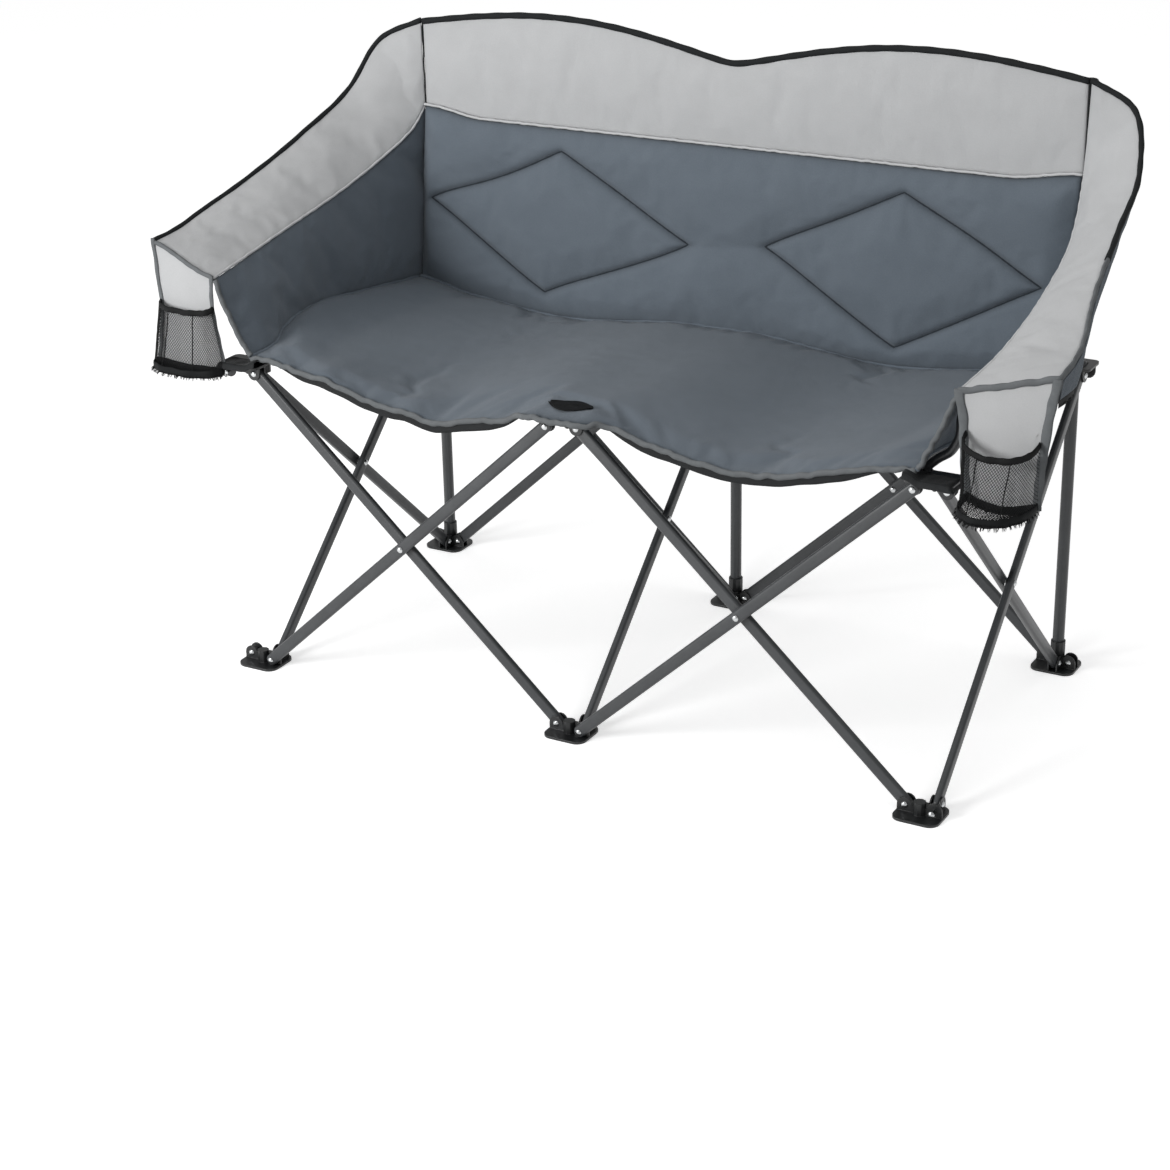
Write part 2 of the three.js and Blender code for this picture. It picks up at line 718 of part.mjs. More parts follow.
// Seat: flat over the middle hub, sagging in each bay and lifted at its sides. Columns run
// from the middle: 1 is the edge of the flat part, and 2 is the side of the seat.
const hubHalf = hubPlateWide / 2;
const flatHalf = hubHalf + overrun;
const seatSlope = (seatRearHeight - seatFrontHeight) / seatReach;

// Columns of half the seat, rows from front to back, how far back the seat lies on the middle
// hub, and where its sides begin to lift
const seatColumnShares = [0, 1, 1.1, 1.2, 1.32, 1.45, 1.58, 1.7, 1.8, 1.87, 1.94, 2];
const seatRowShares = [0, 0.04, 0.09, 0.2, 0.35, 0.5, 0.65, 0.8, 0.93, 1];
const hubCoverShare = 1.3;
const liftStartShare = 0.8;

function seatHeight(x, depth) {
  const base = seatFrontHeight + seatSlope * depth;
  const sag = lerp(seatBaySag, seatRearSag, depth / seatReach);
  const along = (Math.abs(x) - flatHalf) / (footPitch - hubHalf - flatHalf);
  return base - sag * Math.sin(Math.PI * THREE.MathUtils.clamp(along, 0, 1)) ** 2;
}

// The point of a seam at a depth behind the front row
function seamAtDepth(seam, depth) {
  let low = 0;
  let high = 1;
  for (let i = 0; i < 24; i += 1) {
    const middle = (low + high) / 2;
    if (seam(middle).y < depth) {
      low = middle;
    } else {
      high = middle;
    }
  }
  return seam(low);
}

function seatTop(x, depth) {
  const edge = seamAtDepth(seatEdge, depth);
  const share = (Math.abs(x) - flatHalf) / (edge.x - flatHalf);
  const lift = (edge.z - seatHeight(edge.x, depth)) * smooth(share, liftStartShare, 1);
  return seatHeight(x, depth) + lift;
}

function makeSeat() {
  const us = [...seatColumnShares.slice(1).reverse().map((share) => -share), ...seatColumnShares];
  const place = (u, v) => {
    const depth = v * seatReach;
    const side = seamAtDepth(seatEdge, depth).x;
    const share = Math.abs(u) - 1;
    const x = share < 0 ? flatHalf * (1 + share) : lerp(flatHalf, side, share);
    return new THREE.Vector3(Math.sign(u) * x, depth, seatTop(x, depth));
  };
  const lower = (u, v) => {
    const point = place(u, v);
    const overHub = Math.abs(u) <= 1 && point.y < hubPlateIn * hubCoverShare;
    const most = overHub ? point.z - plateTop - clothGap : seatThick;
    const full = crown((u + 2) / 4, v);
    point.z -= Math.min(most, lerp(2 * edgeThick, seatThick, full));
    return point;
  };
  return paddedSheet(us, seatRowShares, place, lower);
}
addPiece('seat_pad', makeSeat().translate(0, rowFront, 0), 'slate');

function makePatch() {
  const half = patchWide / 2;
  const outline = roundedRectangle([-half, half], [0, patchDeep], patchDeep / 4);
  const geometry = extrudeUp(outline, clothGap, clothGap + patchThick, 3);
  return geometry.rotateX(Math.atan(seatSlope)).translate(0, rowFront + edgeThick, seatFrontHeight);
}
addPiece('seat_patch', makePatch(), 'webbing');

// Back: its rear face is flat, and its front is drawn in at the edges and along two diamonds.
const backPlane = footPitch - boreRadius - sleeveWall - clothGap;

// The seam rises to the corners over the last part of the way out.
const cornerStartShare = 0.8;

function topSeam(x) {
  const start = footPitch * cornerStartShare;
  return lerp(backTopSeam, backCornerSeam, smooth(Math.abs(x), start, footPitch));
}

// The foot of the back lies on the seat.
function backFoot(x) {
  return seatTop(x, seatReach - backEdgeThick / 2) + clothGap + 2 * seamGap;
}

// Columns of the back's pieces: 12 cells span each diamond, whose stitching follows the cells.
const diamondSide = diamondCentreX + diamondHalfWide;
const diamondNear = diamondCentreX - diamondHalfWide;
const sideColumnShare = 0.6;
const backHalfColumns = [
  0, diamondNear / 2,
  ...evenShares(12).map((share) => lerp(diamondNear, diamondSide, share)),
  lerp(diamondSide, backHalfWidth, sideColumnShare), backHalfWidth,
];
const backColumns = [...backHalfColumns.slice(1).reverse().map((x) => -x), ...backHalfColumns];

function makeBackPad() {
  const low = diamondCentreZ - diamondHalfHigh;
  const high = diamondCentreZ + diamondHalfHigh;
  const vs = [-1, -0.5, ...evenShares(12), 1.5, 2];
  const height = (x, v) => {
    if (v < 0) {
      return lerp(low, backFoot(x), -v);
    }
    return v > 1 ? lerp(high, topSeam(x), v - 1) : lerp(low, high, v);
  };
  const plane = (z) => backPlane - (backLean * (backTopSeam - z)) / (backTopSeam - low);
  const thickness = (x, z) => {
    const inset = Math.min(backHalfWidth - Math.abs(x), z - backFoot(x), topSeam(x) - z);
    const across = (Math.abs(x) - diamondCentreX) / diamondHalfWide;
    const up = (z - diamondCentreZ) / diamondHalfHigh;
    const ring = Math.abs(Math.abs(across) + Math.abs(up) - 1);
    const apart = ring / Math.hypot(1 / diamondHalfWide, 1 / diamondHalfHigh);
    const inner = lerp(stitchThick, backThick, smooth(apart, 0, stitchSpread));
    return lerp(backEdgeThick, inner, smooth(inset, 0, stitchSpread));
  };
  const lower = (x, v) => new THREE.Vector3(x, plane(height(x, v)), height(x, v));
  const upper = (x, v) => {
    const point = lower(x, v);
    point.y -= thickness(x, point.z);
    return point;
  };
  return paddedSheet(backColumns, vs, upper, lower, true);
}
addPiece('back_pad', makeBackPad().translate(0, rowFront, 0), 'slate');

function topEdge(x) {
  const away = Math.abs(x);
  if (away < humpX) {
    return lerp(dipTop, humpTop, Math.sin((Math.PI / 2) * (away / humpX)));
  }
  const share = (away - humpX) / (backHalfWidth - humpX);
  return lerp(cornerTop, humpTop, Math.cos((Math.PI / 2) * share));
}

function makeBackBand() {
  const vs = evenShares(3);
  const lower = (x, v) => new THREE.Vector3(
    x, backPlane, lerp(topSeam(x) + 2 * seamGap, topEdge(x), v));
  const upper = (x, v) => {
    const point = lower(x, v);
    const full = crown((x / backHalfWidth + 1) / 2, v);
    point.y -= lerp(bandEdgeThick, bandThick, full);
    return point;
  };
  return paddedSheet(backColumns, vs, upper, lower);
}
addPiece('back_band', makeBackBand().translate(0, rowFront, 0), 'silver');

// Sleeves behind the back take the tops of the uprights.
columns.forEach((x, i) => {
  const top = (i === 1 ? middleUprightTop : cornerUprightTop) + slip;
  const outer = bar('z', top - sleeveHigh, top + sleeveWall, [0, 0], boreRadius + sleeveWall, 12);
  const bore = bar('z', top - sleeveHigh - overrun, top, [0, 0], boreRadius, 12);
  const sleeve = addPiece(`sleeve_${columnNames[i]}`, combine([outer], [bore]), 'webbing');
  sleeve.position.set(x, rowRear, 0);
});

// Cup holders: a hanging panel with bound sides, and an open round net pocket in front of it
const pocketBack = armReach + 2 * clothGap + cupPanelThick;
const pocketRadius = (pocketReach - pocketBack) / 2;
const cupX = (armFrontIn + armFrontOut + edgeThick) / 2 - edgeThick;
const cupMiddleShare = 0.45;
const cupBulgeShares = [1.12, 1.2];
const cupPoints = {
  highIn: [armFrontIn + edgeThick, armFrontInHeight],
  highOut: [armFrontOut - edgeThick, armFrontOutHeight - edgeThick],
  middleOut: [cupX + pocketRadius * cupBulgeShares[0],
    lerp(cupPanelFoot, armFrontOutHeight, cupMiddleShare)],
  lowOut: [cupX + pocketRadius, cupPanelFoot],
  lowIn: [cupX - pocketRadius, cupPanelFoot],
  middleIn: [cupX - pocketRadius * cupBulgeShares[1],
    lerp(cupPanelFoot, armFrontInHeight, cupMiddleShare)],
};

function outlineThrough(points) {
  return new THREE.Shape(points.map(([x, z]) => new THREE.Vector2(x, z)));
}

function makeCupPanel() {
  const { highIn, highOut, middleOut, lowOut, lowIn, middleIn } = cupPoints;
  const inward = ([x, z], step) => [x + step, z];
  const face = [-armReach - clothGap, -armReach - clothGap - cupPanelThick];
  const front = -armReach - clothGap - cupBindingThick;
  const sheet = outlineThrough([highIn, highOut, middleOut, lowOut, lowIn, middleIn]);
  const outer = outlineThrough([highOut, middleOut, lowOut, inward(lowOut, -cupBindingWide),
    inward(middleOut, -cupBindingWide), inward(highOut, -cupBindingWide)]);
  const inner = outlineThrough([highIn, middleIn, lowIn, inward(lowIn, cupBindingWide),
    inward(middleIn, cupBindingWide), inward(highIn, cupBindingWide)]);
  const solids = [
    extrudeAcross(sheet, face[1], face[0], 1),
    extrudeAcross(outer, front, face[0], 1),
    extrudeAcross(inner, front, face[0], 1),
  ];
  return combine(solids);
}
addPair('cup_panel', makeCupPanel(), 'silver');

function makePocket() {
  const inside = pocketRadius - pocketWall;
  const profile = [
    [0, pocketFoot], [pocketRadius, pocketFoot], [pocketRadius, pocketTop],
    [inside, pocketTop], [inside, pocketFoot + pocketWall], [0, pocketFoot + pocketWall],
  ].map(([radius, z]) => new THREE.Vector2(radius, z));
  const geometry = new THREE.LatheGeometry(profile, 20).rotateX(Math.PI / 2);
  const places = geometry.attributes.position;
  for (let i = 0; i < places.count; i += 1) {
    if (places.getZ(i) > pocketTop - pocketWall) {
      const forward = (1 - places.getY(i) / pocketRadius) / 2;
      places.setZ(i, pocketTop - pocketDroop * forward);
    }
  }
  return combine([geometry]).translate(cupX, -pocketBack - pocketRadius, 0);
}
addPair('cup_pocket', makePocket(), 'net');

export default loveseat;
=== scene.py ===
"""Folding camping loveseat: its cloth, bindings, tubes and finishes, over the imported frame.

Metres. +X is to the right of someone facing the seat, +Y is to the back, +Z is up, and the
floor is at z = 0, as in the part itself.
"""

import math

import bmesh
import bpy
from mathutils import Matrix, Vector, noise


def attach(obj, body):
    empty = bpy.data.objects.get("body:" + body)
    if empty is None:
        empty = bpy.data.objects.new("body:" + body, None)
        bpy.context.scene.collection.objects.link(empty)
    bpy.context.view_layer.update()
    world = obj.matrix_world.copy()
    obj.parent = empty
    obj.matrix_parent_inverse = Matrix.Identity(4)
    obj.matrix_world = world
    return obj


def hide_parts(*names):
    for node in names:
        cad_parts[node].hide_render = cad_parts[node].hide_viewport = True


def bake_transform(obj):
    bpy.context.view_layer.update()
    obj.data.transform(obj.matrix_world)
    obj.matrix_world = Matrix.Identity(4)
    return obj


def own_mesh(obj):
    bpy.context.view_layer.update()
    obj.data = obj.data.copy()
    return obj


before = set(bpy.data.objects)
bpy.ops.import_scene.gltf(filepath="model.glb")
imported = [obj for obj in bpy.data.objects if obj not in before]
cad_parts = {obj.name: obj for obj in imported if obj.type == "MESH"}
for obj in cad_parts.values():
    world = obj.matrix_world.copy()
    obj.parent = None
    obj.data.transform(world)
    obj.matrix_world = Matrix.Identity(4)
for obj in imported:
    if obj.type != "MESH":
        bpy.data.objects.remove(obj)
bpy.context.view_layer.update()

SIDES = {"left": -1, "right": 1}
AXIS_X, AXIS_Y, AXIS_Z = Vector((1, 0, 0)), Vector((0, 1, 0)), Vector((0, 0, 1))

# Sizes repeated from the part, in metres
ROW_FRONT = -0.248
ROW_REAR = 0.332
FOOT_PITCH = 0.58
RIVET_OFFSET = 0.023
RIVET_FOOT = 0.014
RIVET_HUB = 0.504
CROSSING = 0.259
TUBE_WIDE = 0.019
TUBE_THICK = 0.011
TUBE_LAYER = 0.007
TAIL_REACH = 0.024
FRONT_SLOT = 0.0178
REAR_SLOT = 0.0038
LAYER_FACE = 0.0128
LUG_WALL = 0.0024
UPRIGHT_RADIUS = 0.0095
POST_RADIUS = 0.0065
PLATE_TOP = 0.518
SEAT_REACH = 0.528
SEAT_FRONT = 0.526
SEAT_REAR = 0.504
SEAT_THICK = 0.015
SEAT_FLAT = 0.041
SEAT_BAY = 0.503
BACK_HALF = 0.582
BACK_PLANE = 0.5682
BACK_LEAN = 0.032
BACK_SEAM = 0.797
BACK_CORNER_SEAM = 0.812
CORNER_X = 0.5835

# The left, middle and right feet and hubs of a row
COLUMNS = {"left": -FOOT_PITCH, "center": 0.0, "right": FOOT_PITCH}
# The seat is one cloth, and folds where its front and rear halves meet.
SEAT_SPLIT = ROW_FRONT + SEAT_REACH / 2
# The frames for which each cloth simulation runs
FILL_FRAMES = 20


# Materials

# A wave texture of scale 1 repeats after this many metres
WAVE_UNIT = 0.31416


def linear(code):
    """An sRGB hex colour as linear values."""
    shares = [int(code[i:i + 2], 16) / 255 for i in (1, 3, 5)]
    return [s / 12.92 if s <= 0.04045 else ((s + 0.055) / 1.055) ** 2.4 for s in shares] + [1]


def add(tree, kind, inputs=None, **settings):
    """Add one node, with its settings, and the value or link of each named socket."""
    made = tree.nodes.new(kind)
    for name, value in settings.items():
        setattr(made, name, value)
    for socket, value in (inputs or {}).items():
        if isinstance(value, bpy.types.NodeSocket):
            tree.links.new(value, made.inputs[socket])
        else:
            made.inputs[socket].default_value = value
    return made


def new_material(name):
    material = bpy.data.materials.new(name)
    material.use_nodes = True
    material.node_tree.nodes.clear()
    return material, material.node_tree


def woven(name, colour, deep, thread, rough, depth, sheen=0.15, shade=0.0):
    """Plain-woven cloth: threads over and under each other, read from the piece's own UV in metres.

    Near its seams and in its stitched grooves, painted shade darkens the colour by the share given
    as shade.
    Threads are drawn about twice as coarse as real ones, so that they show in a render.
    """
    material, tree = new_material(name)
    threads = add(tree, "ShaderNodeUVMap", uv_map="threads").outputs["UV"]
    warp, weft = [add(tree, "ShaderNodeTexWave", {
        "Vector": threads, "Scale": WAVE_UNIT / thread, "Distortion": 0.0}, wave_type="BANDS",
        bands_direction=direction, wave_profile="SIN") for direction in "XY"]
    over = add(tree, "ShaderNodeTexChecker", {
        "Vector": threads, "Color1": (1, 1, 1, 1), "Color2": (0, 0, 0, 1), "Scale": 1 / thread})
    relief = add(tree, "ShaderNodeMix", {
        "Factor": over.outputs["Fac"], "A": warp.outputs["Fac"], "B": weft.outputs["Fac"]},
        data_type="FLOAT")
    place = add(tree, "ShaderNodeTexCoord").outputs["Object"]
    # Slight unevenness of the dye over about 60 mm, and single lighter threads
    cloud = add(tree, "ShaderNodeTexNoise", {
        "Vector": place, "Scale": 16.0, "Detail": 3.0, "Roughness": 0.6})
    slub = add(tree, "ShaderNodeTexNoise", {
        "Vector": threads, "Scale": 420.0, "Detail": 2.0, "Roughness": 0.7})
    mottle = add(tree, "ShaderNodeMath", {0: cloud.outputs["Fac"], 1: slub.outputs["Fac"]},
                 operation="ADD")
    share = add(tree, "ShaderNodeMapRange", {
        "Value": mottle.outputs["Value"], "From Min": 0.7, "From Max": 1.3})
    base = add(tree, "ShaderNodeMix", {
        "Factor": share.outputs["Result"], "A": linear(deep), "B": linear(colour)},
        data_type="RGBA")
    # Faint creases some 25 mm apart, as in handled cloth, and gathers 8 mm apart at the seams
    crease = add(tree, "ShaderNodeTexNoise", {
        "Vector": place, "Scale": 38.0, "Detail": 4.0, "Roughness": 0.55, "Distortion": 0.4})
    near_seam = add(tree, "ShaderNodeAttribute", attribute_type="GEOMETRY",
                    attribute_name="gather")
    pucker = add(tree, "ShaderNodeTexNoise", {
        "Vector": place, "Scale": 120.0, "Detail": 2.0, "Roughness": 0.5})
    gathered = add(tree, "ShaderNodeMath", {
        0: pucker.outputs["Fac"], 1: near_seam.outputs["Fac"]}, operation="MULTIPLY")
    height = add(tree, "ShaderNodeMath", {
        0: gathered.outputs["Value"], 1: 1.4, 2: crease.outputs["Fac"]}, operation="MULTIPLY_ADD")
    soft = add(tree, "ShaderNodeBump", {
        "Strength": 0.22, "Distance": 0.004, "Height": height.outputs["Value"]})
    fine = add(tree, "ShaderNodeBump", {
        "Strength": depth, "Distance": 0.0004, "Height": relief.outputs["Result"],
        "Normal": soft.outputs["Normal"]})
    # Painted shade: near seams and stitching the colour is drawn towards the near black #24282c, by
    # the shade
    sunk = add(tree, "ShaderNodeMath", {0: near_seam.outputs["Fac"], 1: 3.0}, operation="POWER")
    darker = add(tree, "ShaderNodeMath", {0: sunk.outputs["Value"], 1: shade},
                 operation="MULTIPLY")
    colour_with_painted_shade = add(tree, "ShaderNodeMix", {
        "Factor": darker.outputs["Value"], "A": base.outputs["Result"], "B": linear("#24282c")},
        data_type="RGBA")
    shader = add(tree, "ShaderNodeBsdfPrincipled", {
        "Base Color": colour_with_painted_shade.outputs["Result"], "Roughness": rough,
        "Normal": fine.outputs["Normal"],
        "Sheen Weight": sheen, "Sheen Roughness": 0.5, "Specular IOR Level": 0.25})
    add(tree, "ShaderNodeOutputMaterial", {"Surface": shader.outputs["BSDF"]})
    return material


def taped(name, colour, deep, rib, rough):
    """Woven edge tape: fine ribs across its length and a slight gather."""
    material, tree = new_material(name)
    place = add(tree, "ShaderNodeTexCoord").outputs["Object"]
    ribs = add(tree, "ShaderNodeTexWave", {
        "Vector": place, "Scale": WAVE_UNIT / rib, "Distortion": 0.6, "Detail": 1.0},
        wave_type="BANDS", bands_direction="DIAGONAL", wave_profile="SIN")
    wear = add(tree, "ShaderNodeTexNoise", {
        "Vector": place, "Scale": 60.0, "Detail": 4.0, "Roughness": 0.65})
    base = add(tree, "ShaderNodeMix", {
        "Factor": wear.outputs["Fac"], "A": linear(deep), "B": linear(colour)}, data_type="RGBA")
    soft = add(tree, "ShaderNodeBump", {
        "Strength": 0.5, "Distance": 0.002, "Height": wear.outputs["Fac"]})
    fine = add(tree, "ShaderNodeBump", {
        "Strength": 0.5, "Distance": 0.0003, "Height": ribs.outputs["Fac"],
        "Normal": soft.outputs["Normal"]})
    shader = add(tree, "ShaderNodeBsdfPrincipled", {
        "Base Color": base.outputs["Result"], "Roughness": rough,
        "Normal": fine.outputs["Normal"], "Specular IOR Level": 0.15})
    add(tree, "ShaderNodeOutputMaterial", {"Surface": shader.outputs["BSDF"]})
    return material


def coated(name, colour, worn, rough, metal, grain, relief, radius):
    """Hard finish with a fine grain, worn a little lighter, with softened edges."""
    material, tree = new_material(name)
    place = add(tree, "ShaderNodeTexCoord").outputs["Object"]
    edge = add(tree, "ShaderNodeBevel", {"Radius": radius}, samples=6)
    speck = add(tree, "ShaderNodeTexNoise", {
        "Vector": place, "Scale": 1 / grain, "Detail": 3.0, "Roughness": 0.6})
    patch = add(tree, "ShaderNodeTexNoise", {
        "Vector": place, "Scale": 14.0, "Detail": 5.0, "Roughness": 0.7})
    share = add(tree, "ShaderNodeMapRange", {
        "Value": patch.outputs["Fac"], "From Min": 0.4, "From Max": 0.75})
    base = add(tree, "ShaderNodeMix", {
        "Factor": share.outputs["Result"], "A": linear(colour), "B": linear(worn)},
        data_type="RGBA")
    gloss = add(tree, "ShaderNodeMapRange", {
        "Value": speck.outputs["Fac"], "To Min": rough - 0.06, "To Max": rough + 0.08})
    bumpy = add(tree, "ShaderNodeBump", {
        "Strength": relief, "Distance": 0.0002, "Height": speck.outputs["Fac"],
        "Normal": edge.outputs["Normal"]})
    shader = add(tree, "ShaderNodeBsdfPrincipled", {
        "Base Color": base.outputs["Result"], "Roughness": gloss.outputs["Result"],
        "Metallic": metal, "Normal": bumpy.outputs["Normal"]})
    add(tree, "ShaderNodeOutputMaterial", {"Surface": shader.outputs["BSDF"]})
    return material


# Woven polyester of 600 denier: matt, slightly heathered blue-grey, with painted shade along its
# seams and quilting
slate = woven("woven_polyester_slate", "#646d76", "#5d666f", 0.0011, 0.86, 0.5, shade=0.55)
# The same cloth in light grey, for the back's top, the arms and the cup panels, with fainter painted
# shade along its seams
silver = woven("woven_polyester_silver", "#bfc0c1", "#b8b9ba", 0.0011, 0.86, 0.5, shade=0.12)
# Coated lining under the seat: near black, thin, hardly any weave
lining = woven("coated_lining_black", "#1b1d1f", "#131516", 0.0009, 0.7, 0.3, 0.05)
# Folded binding tape: charcoal polyester with fine ribs
binding = taped("binding_tape_charcoal", "#252728", "#191b1c", 0.0013, 0.75)
# Heavier black webbing for hems and the seat's reinforcing patch
webbing = taped("polypropylene_webbing_black", "#17191a", "#0d0e0f", 0.0020, 0.7)
# Grey piping, the same tape in mid grey
piping = taped("piping_tape_grey", "#737678", "#56595b", 0.0013, 0.75)
# Knitted polyester net and elastic: black, a little shiny on the threads
net = taped("knitted_net_black", "#141516", "#0c0d0d", 0.0011, 0.65)
# Polyester thread of the quilting, a shade darker than the cloth
thread = taped("sewing_thread_slate", "#343a40", "#2b3035", 0.0006, 0.7)
# Powder-coated steel tube: even dark grey with a soft sheen and a faint orange-peel
steel = coated("powder_coated_steel_graphite", "#343638", "#424446", 0.36, 0.0, 0.0016, 0.25,
               0.0008)
# Moulded nylon: black with a satin skin, greyer where it has been rubbed
nylon = coated("moulded_nylon_black", "#131415", "#222425", 0.36, 0.0, 0.0012, 0.35, 0.0016)
# Zinc-plated steel rivets: bright domes
zinc = coated("zinc_plated_steel", "#c9cbcc", "#a9abac", 0.24, 1.0, 0.0020, 0.15, 0.0005)


# Curves and sheets


def mm(*values):
    return Vector(values) / 1000


def seam(points):
    """A smooth curve through points in millimetres behind the front row, read from 0 to 1."""
    knots = [mm(*point) for point in points]
    knots = [2 * knots[0] - knots[1], *knots, 2 * knots[-1] - knots[-2]]

    def at(share):
        along = min(max(share, 0), 1) * (len(knots) - 3)
        first = min(int(along), len(knots) - 4)
        t = along - first
        a, b, c, d = knots[first:first + 4]
        ab, bc, cd = [max((q - p).length, 1e-6) ** 0.5 for p, q in ((a, b), (b, c), (c, d))]
        leave = ((b - a) / ab - (c - a) / (ab + bc) + (c - b) / bc) * bc
        reach = ((c - b) / bc - (d - b) / (bc + cd) + (d - c) / cd) * bc
        found = (b * (2 * t ** 3 - 3 * t ** 2 + 1) + leave * (t ** 3 - 2 * t ** 2 + t)
                 + c * (3 * t ** 2 - 2 * t ** 3) + reach * (t ** 3 - t ** 2))
        return found + Vector((0, ROW_FRONT, 0))

    return at


def smooth(value, low, high):
    share = min(max((value - low) / (high - low), 0), 1)
    return share * share * (3 - 2 * share)


def mix(a, b, share):
    return a + (b - a) * share


def crown(u, v):
    return math.sqrt(max(math.sin(math.pi * u) * math.sin(math.pi * v), 0))


def facing(place, u, v, hint, step=0.01):
    """The direction square to a sheet, on the side that the hint points to."""
    across = place(min(u + step, 1), v) - place(max(u - step, 0), v)
    up = place(u, min(v + step, 1)) - place(u, max(v - step, 0))
    found = across.cross(up).normalized()
    return -found if found.dot(hint) < 0 else found


def lay(bm, place, columns, rows, flat, sewn=None, stitched=None):
    """A grid of cloth set out by place(u, v), with its threads measured in metres.

    sewn(u, v) is whether a point is held while the piece is filled, and stitched(u, v) how far it
    lies from stitching inside the piece. Gathers fade away from the rim and from the stitching.
    """
    threads = bm.loops.layers.uv.get("threads") or bm.loops.layers.uv.new("threads")
    held = bm.verts.layers.deform.verify()
    gather = bm.verts.layers.float.get("gather") or bm.verts.layers.float.new("gather")
    made = bmesh.ops.create_grid(bm, x_segments=columns, y_segments=rows, size=0.5, calc_uvs=True)
    faces = {face for vert in made["verts"] for face in vert.link_faces}
    for face in faces:
        for loop in face.loops:
            uv = loop[threads].uv
            uv.x, uv.y = uv.x * flat[0], uv.y * flat[1]
    for vert in made["verts"]:
        u, v = vert.co.x + 0.5, vert.co.y + 0.5
        vert.co = place(u, v)
        apart = min(u * flat[0], (1 - u) * flat[0], v * flat[1], (1 - v) * flat[1])
        if stitched:
            apart = min(apart, stitched(u, v))
        # The gather also sets where the cloth's material paints shade along seams and stitching.
        vert[gather] = math.exp(-apart / 0.011)
        if sewn:
            vert[held][0] = float(sewn(u, v))
    edges = dict.fromkeys(edge for vert in made["verts"] for edge in vert.link_edges)
    return made["verts"], [edge for edge in edges if edge.is_boundary]


def placed(name, data):
    """Put a mesh, lamp or camera in the scene."""
    made = bpy.data.objects.new(name, data)
    bpy.context.scene.collection.objects.link(made)
    return made


def as_mesh(name, bm):
    mesh = bpy.data.meshes.new(name)
    bm.to_mesh(mesh)
    bm.free()
    return mesh


def finished(name, bm, material):
    """Make the mesh a piece of the scene, in its material."""
    made = placed(name, as_mesh(name, bm))
    made.data.materials.append(material)
    for polygon in made.data.polygons:
        polygon.use_smooth = True
    return made


def piece(name, bm, material):
    """A finished piece with all its faces turned outwards."""
    bmesh.ops.recalc_face_normals(bm, faces=bm.faces)
    return finished(name, bm, material)


def bake(made):
    """Give the piece the mesh that its modifiers make, and take them off."""
    graph = bpy.context.evaluated_depsgraph_get()
    mesh = bpy.data.meshes.new_from_object(made.evaluated_get(graph))
    made.modifiers.clear()
    made.data = mesh
    return made


def rounded(made):
    finer = made.modifiers.new("finer", "SUBSURF")
    finer.levels = finer.render_levels = 1
    return bake(made)


def fill(made, pressure, growth, cap):
    """Fill a sewn pad by cloth simulation, held where it is sewn, no point moving past the cap."""
    made.vertex_groups.new(name="sewn")
    scene = bpy.context.scene
    start = [vert.co.copy() for vert in made.data.vertices]
    cloth = made.modifiers.new("filling", "CLOTH")
    for name, value in {
            "vertex_group_mass": "sewn", "use_pressure": True, "uniform_pressure_force": pressure,
            "shrink_min": -growth, "quality": 5, "mass": 0.25, "tension_stiffness": 15.0,
            "compression_stiffness": 15.0, "shear_stiffness": 5.0,
            "bending_stiffness": 0.3}.items():
        setattr(cloth.settings, name, value)
    cloth.settings.effector_weights.gravity = 0
    cloth.point_cache.frame_start = 1
    cloth.point_cache.frame_end = FILL_FRAMES
    for number in range(1, FILL_FRAMES + 1):
        scene.frame_set(number)
    bake(made)
    scene.frame_set(1)
    for vert, was in zip(made.data.vertices, start):
        moved = vert.co - was
        if moved.length > cap:
            vert.co = was + moved * (cap / moved.length)
    return made


def soften(bm, edges, offset, segments):
    bmesh.ops.bevel(bm, geom=edges, offset=offset, offset_type="OFFSET", segments=segments,
                    profile=0.5, affect="EDGES", material=-1)


def sharp_rims(bm):
    return [e for e in bm.edges if e.calc_face_angle(0) > 1.2]


def ring_edges(ring):
    """The edges of a ring, in the same order each run."""
    edges = dict.fromkeys(edge for vert in ring for edge in vert.link_edges)
    return [edge for edge in edges if edge.verts[0] in ring and edge.verts[1] in ring]


def sweep(name, path, radii, sides, material, loop=False, up=AXIS_Z):
    """A tape or tube along a path: one ring of points, extruded from place to place.

    radii(share) gives the half width along up and the half width across it.
    """
    bm = bmesh.new()
    count = len(path)
    rings = []
    ring = bmesh.ops.create_circle(bm, cap_ends=False, segments=sides, radius=1)["verts"]
    base = [vert.co.copy() for vert in ring]
    for i, point in enumerate(path):
        ahead = path[(i + 1) % count] if loop or i + 1 < count else point
        behind = path[i - 1] if loop or i else point
        along = (ahead - behind).normalized()
        side = along.cross(up).normalized()
        rise = side.cross(along)
        tall, wide = radii(i / (count - 1))
        if i:
            grown = bmesh.ops.extrude_edge_only(bm, edges=ring_edges(ring))["geom"]
            fresh = [g for g in grown if isinstance(g, bmesh.types.BMVert)]
            order = {}
            for vert in fresh:
                for edge in vert.link_edges:
                    other = edge.other_vert(vert)
                    if other in ring:
                        order[ring.index(other)] = vert
            ring = [order[k] for k in range(sides)]
        for vert, corner in zip(ring, base):
            vert.co = point + rise * (corner.y * tall) + side * (corner.x * wide)
        rings.append(ring)
    ends = [ring_edges(rings[0]), ring_edges(rings[-1])]
    if loop:
        bmesh.ops.bridge_loops(bm, edges=ends[0] + ends[1])
    else:
        for edges in ends:
            bmesh.ops.edgeloop_fill(bm, edges=edges)
    return piece(name, bm, material)


def spaced(at, count, start=0.0, end=1.0):
    """Points along a curve, some way apart."""
    return [at(mix(start, end, i / count)) for i in range(count + 1)]


